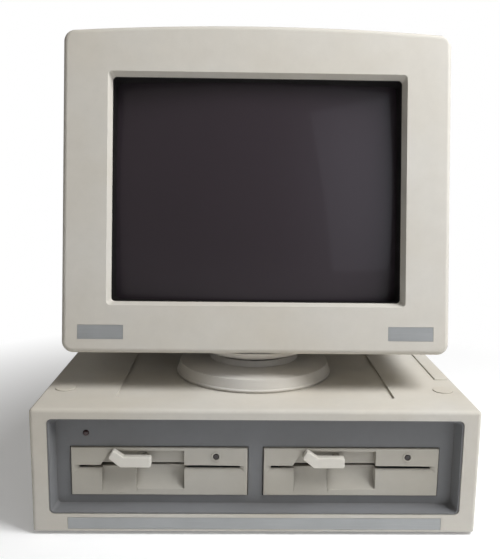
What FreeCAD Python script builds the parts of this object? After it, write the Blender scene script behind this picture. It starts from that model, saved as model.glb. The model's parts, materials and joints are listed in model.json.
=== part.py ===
import FreeCAD, Part
import math
import os
import Sketcher

# Vintage home computer: a low system unit with two disk drives, and a monitor on a ball foot.
# Millimetres. X to the right, Y to the back, Z up. The origin is on the floor, under the middle.

SIZES = {
    # system unit case
    "case_width": 372.0,
    "case_depth": 384.0,
    "case_height": 106.5,
    "foot_height": 3.0,
    "foot_radius": 9.0,
    "foot_inset": 26.0,
    "case_wall": 2.5,
    "case_edge_radius": 3.5,
    "fit_gap": 0.3,
    "press_gap": 0.1,
    # front opening and fascia
    "opening_side": 14.2,
    "opening_bottom": 15.0,
    "opening_height": 83.0,
    "opening_radius": 4.5,
    "fascia_setback": 12.0,
    "fascia_rim": 0.8,
    "fascia_rim_wall": 1.2,
    "fascia_slope": 3.2,
    "fascia_plate": 2.5,
    "fascia_flange": 6.0,
    "fascia_flange_plate": 2.0,
    # label strip under the opening
    "label_side": 29.25,
    "label_height": 10.5,
    "label_bottom": 1.6,
    "label_plate": 0.5,
    "label_sink": 0.6,
    # recess, caps and strip on the top
    "recess_side": 65.5,
    "recess_front": 29.0,
    "recess_length": 318.0,
    "recess_depth": 2.0,
    "recess_radius": 6.0,
    "cap_radius": 8.8,
    "cap_inset": 17.7,
    "cap_front": 54.0,
    "cap_rise": 0.8,
    "cap_sink": 1.4,
    "cap_notch": 3.0,
    "pillar_radius": 7.0,
    "pillar_depth": 13.0,
    "cover_screw_radius": 1.9,
    "cover_screw_length": 24.0,
    "cover_screw_head": 3.6,
    "cover_screw_head_height": 2.6,
    "strip_width": 11.8,
    "strip_inset": 10.9,
    "strip_front": 84.0,
    "strip_length": 258.0,
    "strip_rise": 1.4,
    "strip_slot_margin": 1.6,
    "strip_slot_radius": 1.2,
    # base tray
    "tray_floor": 2.5,
    "tray_wall": 2.0,
    "tray_wall_height": 14.0,
    "post_radius": 6.0,
    "shelf_thickness": 4.0,
    "standoff_radius": 4.0,
    "standoff_height": 6.0,
    # rear panel and sockets
    "panel_side": 36.0,
    "panel_bottom": 11.0,
    "panel_height": 68.0,
    "panel_setback": 10.0,
    "panel_plate": 1.5,
    "panel_lap": 5.0,
    "panel_gap": 0.3,
    "vent_width": 3.0,
    "vent_height": 8.0,
    "vent_pitch": 9.0,
    "flange_height": 12.5,
    "flange_plate": 1.0,
    "shell_height": 8.4,
    "shell_length": 6.0,
    "shell_margin": 7.0,
    "wide_socket": 53.0,
    "narrow_socket": 31.0,
    "socket_body_depth": 9.0,
    "power_socket_radius": 11.0,
    "power_socket_length": 7.0,
    "round_socket_radius": 9.0,
    "round_socket_front": 84.0,
    "mouse_socket_front": 117.0,
    "side_socket_height": 42.0,
    "side_socket_depth": 12.0,
    "wheel_radius": 12.0,
    "wheel_thickness": 4.0,
    "wheel_front": 152.0,
    "wheel_height": 60.0,
    "wheel_shaft_radius": 2.5,
    "wheel_slot_margin": 1.0,
    # battery bay
    "cell_radius": 7.1,
    "cell_length": 50.0,
    "cell_pitch": 14.6,
    "cell_count": 4,
    "bay_front": 224.0,
    "bay_depth": 17.5,
    "bay_margin": 1.5,
    "battery_lid": 1.8,
    # main board
    "board_side": 21.0,
    "board_length": 140.0,
    "board_front": 218.0,
    "board_plate": 1.6,
    "chip_height": 3.6,
    "chip_lift": 0.6,
    "chip_columns": 9,
    "chip_pitch": 15.0,
    "connector_length": 85.0,
    "connector_height": 14.0,
    "connector_count": 3,
    "connector_pitch": 26.0,
    "speaker_radius": 28.0,
    "speaker_depth": 19.0,
    "speaker_back": 250.0,
    "speaker_height": 62.0,
    # power lamp
    "lamp_inset": 43.8,
    "lamp_height": 81.7,
    "lamp_radius": 2.6,
    "lamp_reach": 1.0,
    # disk drives
    "drive_side": 17.0,
    "drive_divider": 13.6,
    "drive_height": 42.0,
    "drive_middle": 48.36,
    "drive_setback": 10.0,
    "drive_window_gap": 0.8,
    "drive_bezel_depth": 13.0,
    "drive_bezel_wall": 2.5,
    "slot_side": 6.5,
    "slot_height": 2.8,
    "slot_rise": 4.3,
    "slot_flare": 4.0,
    "slot_chamfer": 3.6,
    "grip_left": -48.2,
    "grip_step": -20.0,
    "grip_right": 20.7,
    "grip_bottom": -18.9,
    "grip_top": 18.4,
    "grip_shallow": 5.5,
    "grip_deep": 9.0,
    "grip_upper_depth": 6.0,
    "grip_slant": 10.0,
    "drive_lamp_side": 47.5,
    "drive_lamp_rise": 13.5,
    "drive_lamp_radius": 2.6,
    "drive_lamp_ring": 4.1,
    "drive_length": 204.0,
    "rail_thickness": 3.0,
    "deck_thickness": 3.0,
    "deck_drop": 4.0,
    "frame_inset": 1.0,
    "frame_height": 39.0,
    "spindle_back": 78.0,
    "hub_radius": 17.0,
    "hub_bore": 20.0,
    "rotor_radius": 38.0,
    "rotor_height": 7.0,
    "spindle_gap": 0.8,
    "clamp_radius": 15.0,
    "clamp_stem_radius": 4.0,
    "clamp_lift": 3.5,
    "clamp_rest_gap": 0.6,
    "disk_thickness": 1.6,
    "guide_radius": 2.5,
    "guide_spread": 22.0,
    "bore_clearance": 0.05,
    "carriage_length": 26.0,
    "carriage_height": 11.0,
    "track_radius": 57.2,
    "head_reach": 14.0,
    "stepper_radius": 19.0,
    "stepper_length": 18.0,
    "pulley_radius": 8.42,
    "pulley_width": 7.0,
    "drive_board_length": 120.0,
    # lever
    "lever_side": -12.0,
    "lever_rise": 10.8,
    "lever_height": 9.0,
    "lever_thickness": 6.0,
    "lever_gap": 0.6,
    "lever_block": 19.0,
    "lever_tail": 5.5,
    "lever_tip_reach": 9.0,
    "lever_tip_rise": 7.2,
    "lever_shaft_radius": 3.0,
    "lever_shaft_length": 24.0,
    # monitor foot
    "pivot_front": 122.0,
    "ball_radius": 145.0,
    "ball_lift": 15.4,
    "ball_shell": 3.0,
    "ball_gap": 0.3,
    "base_radius": 75.0,
    "base_rim": 3.5,
    "base_collar_radius": 38.0,
    "base_shoulder": 16.0,
    "seat_inner_radius": 24.0,
    "bolt_radius": 4.0,
    "bolt_head_radius": 8.0,
    "bolt_head_height": 3.0,
    "key_width": 14.0,
    "key_length": 16.0,
    "retainer_radius": 22.0,
    "retainer_height": 4.0,
    "dome_slot_front": 22.0,
    "dome_slot_back": 36.0,
    # monitor case
    "rest_tilt": 4.2,
    "face_lean": 5.0,
    "pivot_behind_face": 65.7,
    "ball_show": 15.4,
    "bezel_width": 340.0,
    "bezel_height": 286.3,
    "bezel_crown": 6.0,
    "bezel_depth": 52.0,
    "bezel_radius": 10.0,
    "bezel_front_radius": 4.5,
    "bezel_wall": 3.0,
    "bezel_front_wall": 4.0,
    "screen_width": 262.2,
    "screen_height": 204.2,
    "screen_bottom": 42.1,
    "screen_lip": 3.4,
    "screen_lip_depth": 8.0,
    "screen_collar": 4.0,
    "plate_side": 136.0,
    "plate_bottom": 12.4,
    "plate_width": 40.0,
    "plate_height": 12.6,
    "plate_thickness": 0.6,
    "cabinet_inset": 2.5,
    "cabinet_waist": 150.0,
    "cabinet_depth": 318.0,
    "cabinet_rear_width": 230.0,
    "cabinet_rear_bottom": 62.0,
    "cabinet_rear_top": 235.0,
    "cabinet_wall": 3.0,
    "cabinet_step": 0.6,
    "cabinet_radius": 10.0,
    "cabinet_hole": 54.0,
    "roof_vent_count": 17,
    "roof_vent_pitch": 11.0,
    "roof_vent_length": 52.0,
    # picture tube
    "tube_width": 290.0,
    "tube_height": 230.0,
    "tube_front": 9.5,
    "tube_skirt": 52.0,
    "tube_bulge": 900.0,
    "tube_glass": 6.0,
    "funnel_length": 118.0,
    "funnel_end": 62.0,
    "neck_radius": 14.5,
    "neck_behind": 24.5,
    "throat_length": 22.0,
    "band_height": 16.0,
    "band_thickness": 2.0,
    "ear_size": 20.0,
    "ear_screw_radius": 2.2,
    "yoke_length": 46.0,
    "yoke_radius": 46.0,
    "neck_board_size": 64.0,
    # monitor insides
    "chassis_width": 236.0,
    "chassis_back": 76.0,
    "chassis_front": 106.0,
    "chassis_lift": 42.0,
    "flyback_radius": 19.0,
    "flyback_height": 46.0,
    "transformer_size": 56.0,
    "control_radius": 11.0,
    "control_thickness": 4.5,
    "control_back": 84.0,
    "control_pitch": 26.0,
    "control_height": 60.0,
    "control_pin": 3.0,
    "rocker_width": 14.0,
    "rocker_height": 20.0,
    "rocker_pin": 1.4,
    "rocker_side": -70.0,
    "rocker_rise": 100.0,
    "gland_radius": 7.0,
    "gland_side": 62.0,
    "gland_rise": 92.0,
    "case_screw_radius": 2.0,
    "case_screw_length": 18.0,
    "case_screw_head": 4.0,
}


class Size:
    """A length or an angle: its value, and the words that drive it in the sheet."""

    def __init__(self, value, words):
        self.value = value
        self.words = words

    def combine(self, other, sign, result, swapped=False):
        words = other.words if isinstance(other, Size) else repr(float(other))
        pair = (words, self.words) if swapped else (self.words, words)
        return Size(result, "(" + pair[0] + " " + sign + " " + pair[1] + ")")

    def __add__(self, other):
        return self.combine(other, "+", self.value + number(other))

    def __radd__(self, other):
        return self.combine(other, "+", number(other) + self.value, True)

    def __sub__(self, other):
        return self.combine(other, "-", self.value - number(other))

    def __rsub__(self, other):
        return self.combine(other, "-", number(other) - self.value, True)

    def __mul__(self, other):
        return self.combine(other, "*", self.value * number(other))

    def __rmul__(self, other):
        return self.combine(other, "*", number(other) * self.value, True)

    def __truediv__(self, other):
        return self.combine(other, "/", self.value / number(other))

    def __neg__(self):
        return Size(-self.value, "(0 - " + self.words + ")")


def number(value):
    return value.value if isinstance(value, Size) else float(value)


def sine(angle):
    return Size(math.sin(math.radians(angle.value)), "sin(" + angle.words + " * 1 deg)")


def cosine(angle):
    return Size(math.cos(math.radians(angle.value)), "cos(" + angle.words + " * 1 deg)")


def root(size):
    return Size(math.sqrt(size.value), "sqrt(" + size.words + ")")


class Sheet:
    """The spreadsheet of driving dimensions, read as attributes."""

    def __init__(self, document):
        self.sheet = document.addObject("Spreadsheet::Sheet", "sizes")
        for row, (name, value) in enumerate(SIZES.items(), 1):
            self.sheet.set("A%d" % row, name)
            self.sheet.set("B%d" % row, str(value))
            self.sheet.setAlias("B%d" % row, name)
        document.recompute()

    def __getattr__(self, name):
        return Size(float(SIZES[name]), "sizes." + name)


doc = FreeCAD.newDocument("computer")
d = Sheet(doc)
nodes = []


# Helpers that make one piece of geometry, tied to the sheet

def bind(thing, name, value):
    if isinstance(value, Size):
        thing.setExpression(name, value.words)
    else:
        thing.setExpression(name, repr(float(value)))


def place(thing, position, axis=None, angle=0.0):
    if axis is not None:
        thing.Placement = FreeCAD.Placement(FreeCAD.Vector(), FreeCAD.Rotation(FreeCAD.Vector(*axis), angle))
    for letter, value in zip("xyz", position):
        bind(thing, "Placement.Base." + letter, value)


def block(name, low, high):
    box = doc.addObject("Part::Box", name)
    for side, start, end in zip(("Length", "Width", "Height"), low, high):
        bind(box, side, end - start)
    place(box, low)
    return box


TURNS = {"x": ((0, 1, 0), 90.0), "y": ((1, 0, 0), -90.0), "z": (None, 0.0),
         "-x": ((0, 1, 0), -90.0), "-y": ((1, 0, 0), 90.0), "-z": ((1, 0, 0), 180.0)}


def rod(name, radius, length, start, axis="z"):
    cylinder = doc.addObject("Part::Cylinder", name)
    bind(cylinder, "Radius", radius)
    bind(cylinder, "Height", length)
    place(cylinder, start, *TURNS[axis])
    return cylinder


def cone(name, radius_low, radius_high, length, start, axis="z"):
    thing = doc.addObject("Part::Cone", name)
    bind(thing, "Radius1", radius_low)
    bind(thing, "Radius2", radius_high)
    bind(thing, "Height", length)
    place(thing, start, *TURNS[axis])
    return thing


def ball(name, radius, centre):
    sphere = doc.addObject("Part::Sphere", name)
    bind(sphere, "Radius", radius)
    place(sphere, centre)
    return sphere


def taper(name, near, far, low_near, high_near, low_far, high_far):
    """A block that tapers along Y: corners are (x, z) pairs at its near and far ends."""
    wedge = doc.addObject("Part::Wedge", name)
    values = {"Ymin": near, "Ymax": far, "Xmin": low_near[0], "Xmax": high_near[0],
              "Zmin": low_near[1], "Zmax": high_near[1], "X2min": low_far[0],
              "X2max": high_far[0], "Z2min": low_far[1], "Z2max": high_far[1]}
    for key, value in values.items():
        bind(wedge, key, value)
    return wedge


def cut(name, base, *tools):
    result = doc.addObject("Part::Cut", name)
    result.Base = base
    result.Tool = tools[0] if len(tools) == 1 else join(name + "_tools", *tools)
    return result


def join(name, *parts):
    result = doc.addObject("Part::MultiFuse", name)
    result.Shapes = list(parts)
    return result


def overlap(name, *parts):
    result = doc.addObject("Part::MultiCommon", name)
    result.Shapes = list(parts)
    return result


def rounded(name, base, radius, wanted):
    """Fillet the edges of a shape that the test in wanted picks."""
    doc.recompute()
    picked = [index for index, edge in enumerate(base.Shape.Edges, 1) if wanted(edge)]
    result = doc.addObject("Part::Fillet", name)
    result.Base = base
    result.Edges = [(index, number(radius), number(radius)) for index in picked]
    return result


def runs_along(direction):
    """A test for straight edges along one axis."""
    vector = FreeCAD.Vector(*direction)

    def test(edge):
        if edge.Curve.TypeId != "Part::GeomLine":
            return False
        return abs(abs(edge.Curve.Direction.dot(vector)) - 1.0) < 1e-6
    return test


def runs_mostly_along(direction):
    """A test for straight edges within 60 degrees of one axis."""
    vector = FreeCAD.Vector(*direction)

    def test(edge):
        return edge.Curve.TypeId == "Part::GeomLine" and abs(edge.Curve.Direction.dot(vector)) > 0.5
    return test


ALONG_X = runs_along((1, 0, 0))
ALONG_Y = runs_along((0, 1, 0))
ALONG_Z = runs_along((0, 0, 1))
MOSTLY_Y = runs_mostly_along((0, 1, 0))

ROLES = {"XY": "XY_Plane", "XZ": "XZ_Plane", "YZ": "YZ_Plane"}


def outline(body, name, plane, points, offset):
    """A closed outline of straight lines, each corner held by two dimensions."""
    sketch = body.newObject("Sketcher::SketchObject", name)
    origin = [feature for feature in body.Origin.OriginFeatures if feature.Role == ROLES[plane]][0]
    sketch.AttachmentSupport = [(origin, "")]
    sketch.MapMode = "FlatFace"
    bind(sketch, "AttachmentOffset.Base.z", offset)
    corners = [FreeCAD.Vector(number(x), number(y), 0) for x, y in points]
    count = len(corners)
    for index, corner in enumerate(corners):
        sketch.addGeometry(Part.LineSegment(corner, corners[(index + 1) % count]), False)
    for index in range(count):
        sketch.addConstraint(Sketcher.Constraint("Coincident", index, 2, (index + 1) % count, 1))
    for index, (x, y) in enumerate(points):
        for kind, value, line in (("DistanceX", x, -2), ("DistanceY", y, -1)):
            if number(value) == 0.0:
                sketch.addConstraint(Sketcher.Constraint("PointOnObject", index, 1, line))
                continue
            made = sketch.addConstraint(Sketcher.Constraint(kind, -1, 1, index, 1, number(value)))
            if isinstance(value, Size):
                sketch.setExpression("Constraints[%d]" % made, value.words)
    return sketch


def padded(name, points, front, back):
    """A body whose outline lies in the XZ plane, from y = front to y = back."""
    body = doc.addObject("PartDesign::Body", name)
    sketch = outline(body, name + "_outline", "XZ", points, -back)
    pad = body.newObject("PartDesign::Pad", name + "_pad")
    pad.Profile = sketch
    bind(pad, "Length", back - front)
    doc.recompute()
    return body


def padded_side(name, points, left, right):
    """A body whose outline lies in the YZ plane, from x = left to x = right."""
    body = doc.addObject("PartDesign::Body", name)
    sketch = outline(body, name + "_outline", "YZ", points, left)
    pad = body.newObject("PartDesign::Pad", name + "_pad")
    pad.Profile = sketch
    bind(pad, "Length", right - left)
    doc.recompute()
    return body


def turned(name, points, position):
    """A body turned about a vertical axis from an outline of (radius, height) corners."""
    body = doc.addObject("PartDesign::Body", name)
    sketch = outline(body, name + "_outline", "XZ", points, 0.0)
    spin = body.newObject("PartDesign::Revolution", name + "_turn")
    spin.Profile = sketch
    spin.ReferenceAxis = (sketch, ["V_Axis"])
    spin.Angle = 360.0
    doc.recompute()
    place(body, position)
    return body


def node(label, *parts):
    """A named sub-part: one piece, or a group of like pieces."""
    group = doc.addObject("Part::Compound", label)
    group.Links = list(parts)
    group.Label = label
    nodes.append(group)
    return group


# Places that many pieces share

half = d.case_width / 2
front = -d.case_depth / 2
back = d.case_depth / 2
floor = d.foot_height
top = floor + d.case_height
inside_top = top - d.case_wall
recess_floor = top - d.recess_depth
tray_top = floor + d.tray_floor
opening_low = floor + d.opening_bottom
opening_high = opening_low + d.opening_height
fascia_face = front + d.fascia_setback
inner_half = half - d.case_wall
board_low = tray_top + d.standoff_height
board_high = board_low + d.board_plate
panel_face = back - d.panel_setback
panel_low = floor + d.panel_bottom
panel_high = panel_low + d.panel_height
drive_z = floor + d.drive_middle
drive_y = front + d.drive_setback
cap_y = front + d.cap_front
cap_side = half - d.cap_inset
strip_side = half - d.strip_inset
recess_width = d.case_width - 2 * d.recess_side
opening_width = d.case_width - 2 * d.opening_side
label_width = d.case_width - 2 * d.label_side
panel_width = d.case_width - 2 * d.panel_side
board_width = d.case_width - 2 * d.board_side
lamp_side = -(half - d.lamp_inset)
drive_width = opening_width / 2 - d.drive_side - d.drive_divider / 2
drive_offset = (drive_width + d.drive_divider) / 2
slot_width = drive_width - 2 * d.slot_side


# System unit case

def make_top_cover():
    shell = block("cover_block", (-half, front, floor), (half, back, top))
    edges = rounded("cover_rounded", shell, d.case_edge_radius,
                    lambda edge: not (edge.BoundBox.ZMax < number(floor) + 1.0))
    cavity = block("cover_cavity", (-inner_half, front + d.case_wall, floor - 1.0),
                   (inner_half, back - d.case_wall, inside_top))
    hollow = cut("cover_hollow", edges, cavity)
    recess_half = recess_width / 2
    recess_y = front + d.recess_front
    recess_end = recess_y + d.recess_length
    pan = block("cover_pan", (-recess_half - d.case_wall, recess_y - d.case_wall, recess_floor - d.case_wall),
                (recess_half + d.case_wall, recess_end + d.case_wall, inside_top + d.case_wall / 2))
    bay_half = d.cell_pitch * d.cell_count / 2 + d.bay_margin
    bay_y = front + d.bay_front
    bay_end = bay_y + d.cell_length + 2 * d.bay_margin
    bay_low = recess_floor - d.bay_depth
    bay = block("cover_bay", (-bay_half - d.case_wall, bay_y - d.case_wall, bay_low - d.case_wall),
                (bay_half + d.case_wall, bay_end + d.case_wall, inside_top))
    pillars = [rod("cover_pillar_%d" % index, d.pillar_radius, d.pillar_depth,
                   (side * cap_side, cap_y, inside_top - d.pillar_depth))
               for index, side in enumerate((-1, 1))]
    collar_y = back - d.case_wall
    panel_half = panel_width / 2
    collar = block("cover_collar", (-panel_half - d.case_wall, panel_face + d.panel_gap, panel_low - d.case_wall),
                   (panel_half + d.case_wall, collar_y + d.case_wall / 2, panel_high + d.case_wall))
    body = join("cover_body", hollow, pan, bay, collar, *pillars)
    recess = rounded("cover_recess", block("cover_recess_block", (-recess_half, recess_y, recess_floor),
                                           (recess_half, recess_end, top + 1.0)), d.recess_radius, ALONG_Z)
    bay_hole = block("cover_bay_hole", (-bay_half, bay_y, bay_low), (bay_half, bay_end, recess_floor + 1.0))
    lid_seat = block("cover_lid_seat", (-bay_half - d.case_wall / 2, bay_y - d.case_wall / 2,
                                        recess_floor - d.battery_lid),
                     (bay_half + d.case_wall / 2, bay_end + d.case_wall / 2, recess_floor + 1.0))
    opening = rounded("cover_opening",
                      block("cover_opening_block", (-opening_width / 2, front - 1.0, opening_low),
                            (opening_width / 2, front + d.case_wall + 1.0, opening_high)),
                      d.opening_radius, ALONG_Y)
    label = block("cover_label", (-label_width / 2, front - 1.0, floor + d.label_bottom),
                  (label_width / 2, front + d.label_sink, floor + d.label_bottom + d.label_height))
    window = block("cover_window", (-panel_half, panel_face - 1.0, panel_low),
                   (panel_half, back + 1.0, panel_high))
    tools = [recess, bay_hole, lid_seat, opening, label, window]
    for index, side in enumerate((-1, 1)):
        x = side * cap_side
        tools.append(rod("cap_seat_%d" % index, d.cap_radius + d.fit_gap / 2, d.cap_sink + 1.0,
                         (x, cap_y, top - d.cap_sink)))
        tools.append(rod("screw_head_room_%d" % index, d.cover_screw_head + 0.6,
                         d.case_wall + d.cover_screw_head_height,
                         (x, cap_y, inside_top - d.cover_screw_head_height - 0.5)))
        tools.append(rod("screw_way_%d" % index, d.cover_screw_radius + d.fit_gap, 40.0,
                         (x, cap_y, inside_top - 39.0)))
    strip_low = front + d.strip_front + d.strip_slot_margin
    strip_half = d.strip_width / 2 - d.strip_slot_margin
    tools.append(rounded("strip_slot", block("strip_slot_block",
                                             (strip_side - strip_half, strip_low, inside_top - 1.0),
                                             (strip_side + strip_half,
                                              strip_low + d.strip_length - 2 * d.strip_slot_margin, top + 1.0)),
                         d.strip_slot_radius, ALONG_Z))
    count = int(number(panel_width) // number(d.vent_pitch)) - 1
    for index in range(count):
        x = (index - (count - 1) / 2) * d.vent_pitch
        tools.append(block("rear_vent_%d" % index,
                           (x - d.vent_width / 2, collar_y - 1.0, panel_high + 2 * d.case_wall),
                           (x + d.vent_width / 2, back + 1.0, panel_high + 2 * d.case_wall + d.vent_height)))
    side_z = floor + d.side_socket_height
    tools.append(rod("round_socket_way", d.round_socket_radius + d.fit_gap, d.case_wall + 2.0,
                     (-half - 1.0, front + d.round_socket_front, side_z), "x"))
    mouse_y = front + d.mouse_socket_front
    mouse_half = (d.narrow_socket - d.shell_margin * 2) / 2 + d.fit_gap
    tools.append(block("mouse_socket_way", (-half - 1.0, mouse_y - mouse_half,
                                            side_z - d.shell_height / 2 - d.fit_gap),
                       (-inner_half + 1.0, mouse_y + mouse_half, side_z + d.shell_height / 2 + d.fit_gap)))
    wheel_y = front + d.wheel_front
    wheel_z = floor + d.wheel_height
    chord = d.wheel_radius * 0.8
    tools.append(block("wheel_slot", (-half - 1.0, wheel_y - chord, wheel_z - d.wheel_thickness / 2
                                      - d.wheel_slot_margin),
                       (-inner_half + 1.0, wheel_y + chord, wheel_z + d.wheel_thickness / 2
                        + d.wheel_slot_margin)))
    speaker_y = front + d.speaker_back
    speaker_z = floor + d.speaker_height
    for index in range(-3, 4):
        reach = number(d.speaker_radius) * 0.75 * math.sqrt(1.0 - (index / 4.0) ** 2)
        tools.append(block("speaker_slot_%d" % (index + 3),
                           (-half - 1.0, speaker_y - d.speaker_radius * (reach / number(d.speaker_radius)),
                            speaker_z + 5.0 * index - 1.0),
                           (-inner_half + 1.0, speaker_y + d.speaker_radius * (reach / number(d.speaker_radius)),
                            speaker_z + 5.0 * index + 1.0)))
    node("top_cover", cut("cover_finished", body, *tools))


def make_base_tray():
    side = inner_half - d.fit_gap
    near = front + d.case_wall + d.fit_gap
    far = back - d.case_wall - d.fit_gap
    plate = block("tray_plate", (-side, near, floor), (side, far, tray_top))
    wall_top = floor + d.tray_wall_height
    front_top = opening_low - d.fascia_flange - d.fit_gap
    walls = [block("tray_wall_left", (-side, near, floor), (-side + d.tray_wall, far, wall_top)),
             block("tray_wall_right", (side - d.tray_wall, near, floor), (side, far, wall_top)),
             block("tray_wall_front", (-side, near, floor), (side, near + d.tray_wall, front_top)),
             block("tray_wall_back", (-side, far - d.tray_wall, floor), (side, far, panel_low - d.case_wall
                                                                       - d.fit_gap))]
    post_top = inside_top - d.pillar_depth - d.fit_gap
    posts = [rod("tray_post_%d" % index, d.post_radius, post_top - floor, (sign * cap_side, cap_y, floor))
             for index, sign in enumerate((-1, 1))]
    shelf_top = drive_z - d.frame_height / 2 - d.press_gap
    shelves = []
    for index, middle in enumerate((-drive_offset, drive_offset)):
        for row, sign in enumerate((-1, 1)):
            x = middle + sign * (drive_width / 2 - d.shelf_thickness * 2)
            shelves.append(block("tray_shelf_%d_%d" % (index, row),
                                 (x - d.shelf_thickness / 2, drive_y + d.drive_bezel_depth + 6.0, floor),
                                 (x + d.shelf_thickness / 2, drive_y + d.drive_length, shelf_top)))
    standoffs = []
    for index, (x, y) in enumerate(standoff_places()):
        standoffs.append(rod("tray_standoff_%d" % index, d.standoff_radius, board_low - floor, (x, y, floor)))
    lugs = [block("tray_lug_%d" % index, (x - 6.0, panel_face - d.panel_plate - 3.0 - d.press_gap, floor),
                  (x + 6.0, panel_face - d.panel_plate - d.press_gap, panel_low + 4.0))
            for index, x in enumerate((-panel_width * 0.4, 0.0, panel_width * 0.4))]
    body = join("tray_body", plate, *(walls + posts + shelves + standoffs + lugs))
    bores = [rod("tray_screw_bore_%d" % index, d.cover_screw_radius + d.press_gap, d.cover_screw_length,
                 (sign * cap_side, cap_y, post_top - d.cover_screw_length + 1.0))
             for index, sign in enumerate((-1, 1))]
    node("base_tray", cut("tray_finished", body, *bores))
    feet = []
    for index, (x, y) in enumerate(((-1, -1), (1, -1), (-1, 1), (1, 1))):
        feet.append(rounded("foot_rounded_%d" % index,
                            rod("foot_%d" % index, d.foot_radius, d.foot_height,
                                (x * (half - d.foot_inset), y * (back - d.foot_inset), 0.0)), 0.8,
                            lambda edge: edge.BoundBox.ZMax < 0.1 and edge.Curve.TypeId == "Part::GeomCircle"))
    node("rubber_feet", *feet)


def standoff_places():
    places = []
    for x in (-0.46, 0.0, 0.46):
        for y in (0.06, 0.94):
            places.append((x * board_width, front + d.board_front + y * d.board_length))
    return places


def make_cover_details():
    caps = []
    screws = []
    screw_seat = inside_top - d.cover_screw_head_height - 0.5
    for index, sign in enumerate((-1, 1)):
        x = sign * cap_side
        disc = rounded("cap_disc_rounded_%d" % index,
                       rod("cap_disc_%d" % index, d.cap_radius, d.cap_sink + d.cap_rise - d.press_gap,
                           (x, cap_y, top - d.cap_sink + d.press_gap)), 0.6,
                       lambda edge: edge.Curve.TypeId == "Part::GeomCircle"
                       and edge.BoundBox.ZMin > number(top))
        notch = block("cap_notch_%d" % index, (x - d.cap_notch / 2, cap_y + d.cap_radius - 1.6, top),
                      (x + d.cap_notch / 2, cap_y + d.cap_radius + 1.0, top + d.cap_rise + 1.0))
        caps.append(cut("cap_%d" % index, disc, notch))
        head = rod("screw_head_%d" % index, d.cover_screw_head, d.cover_screw_head_height,
                   (x, cap_y, screw_seat + d.press_gap))
        shank = rod("screw_shank_%d" % index, d.cover_screw_radius, d.cover_screw_length,
                    (x, cap_y, screw_seat + d.press_gap - d.cover_screw_length))
        drive = block("screw_drive_%d" % index, (x - 0.5, cap_y - 3.0, screw_seat + d.cover_screw_head_height - 1.0),
                      (x + 0.5, cap_y + 3.0, screw_seat + d.cover_screw_head_height + 1.0))
        screws.append(cut("cover_screw_%d" % index, join("screw_%d" % index, head, shank), drive))
    node("screw_caps", *caps)
    node("cover_screws", *screws)
    label = block("label_plate_block", (-label_width / 2 + 0.2, front + d.label_sink - d.label_plate,
                                        floor + d.label_bottom + 0.2),
                  (label_width / 2 - 0.2, front + d.label_sink, floor + d.label_bottom + d.label_height - 0.2))
    node("label_strip", label)
    strip_y = front + d.strip_front
    raised = rounded("strip_rounded",
                     block("strip_block", (strip_side - d.strip_width / 2, strip_y, top),
                           (strip_side + d.strip_width / 2, strip_y + d.strip_length, top + d.strip_rise)),
                     d.strip_rise - 0.4, lambda edge: edge.BoundBox.ZMin > number(top) + 0.1)
    inner = d.strip_slot_margin + d.fit_gap
    tongue = rounded("strip_tongue",
                     block("strip_tongue_block", (strip_side - d.strip_width / 2 + inner, strip_y + inner,
                                                  inside_top - 1.0),
                           (strip_side + d.strip_width / 2 - inner, strip_y + d.strip_length - inner, top)),
                     d.strip_slot_radius - d.fit_gap, ALONG_Z)
    node("slot_cover", join("slot_cover_body", raised, tongue))


def make_fascia():
    rim = front + d.fascia_rim
    deep = fascia_face + d.fascia_plate
    outer_half = opening_width / 2 - d.fit_gap
    low = opening_low + d.fit_gap
    high = opening_high - d.fit_gap
    outer = rounded("fascia_outer", block("fascia_block", (-outer_half, rim, low), (outer_half, deep, high)),
                    d.opening_radius - d.fit_gap, ALONG_Y)
    flange_y = front + d.case_wall + d.fit_gap / 3
    flange = block("fascia_flange_block", (-outer_half - d.fascia_flange, flange_y, low - d.fascia_flange),
                   (outer_half + d.fascia_flange, flange_y + d.fascia_flange_plate,
                    high + d.fascia_flange - 4.0))
    body = join("fascia_body", outer, flange)
    wall = d.fascia_rim_wall
    tray = taper("fascia_hollow", rim - 0.01, fascia_face, (-outer_half + wall, low + wall),
                 (outer_half - wall, high - wall),
                 (-outer_half + wall + d.fascia_slope, low + wall + d.fascia_slope),
                 (outer_half - wall - d.fascia_slope, high - wall - d.fascia_slope))
    hollow = rounded("fascia_hollow_rounded", tray, d.opening_radius - wall, MOSTLY_Y)
    tools = [hollow]
    for index, middle in enumerate((-drive_offset, drive_offset)):
        reach_x = drive_width / 2 + d.drive_window_gap
        reach_z = d.drive_height / 2 + d.drive_window_gap
        tools.append(block("fascia_window_%d" % index, (middle - reach_x, rim, drive_z - reach_z),
                           (middle + reach_x, deep + 1.0, drive_z + reach_z)))
    lamp_z = floor + d.lamp_height
    tools.append(rod("fascia_lamp_way", d.lamp_radius + d.press_gap, d.fascia_plate + 2.0,
                     (lamp_side, fascia_face - 1.0, lamp_z), "y"))
    node("front_fascia", cut("fascia_finished", body, *tools))
    lens = rounded("lamp_lens_rounded",
                   rod("lamp_lens", d.lamp_radius, d.fascia_plate + d.lamp_reach + 4.0,
                       (lamp_side, fascia_face - d.lamp_reach, lamp_z), "y"), d.lamp_radius * 0.7,
                   lambda edge: edge.Curve.TypeId == "Part::GeomCircle"
                   and edge.BoundBox.YMax < number(fascia_face))
    skirt = rod("lamp_skirt", d.lamp_radius + 0.9, 1.2,
                (lamp_side, fascia_face + d.fascia_plate + d.press_gap, lamp_z), "y")
    card = block("lamp_card", (lamp_side - 6.0, fascia_face + d.fascia_plate + 3.5, lamp_z - 5.0),
                 (lamp_side + 6.0, fascia_face + d.fascia_plate + 5.0, lamp_z + 5.0))
    node("power_lamp", join("power_lamp_body", lens, skirt, card))


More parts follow.
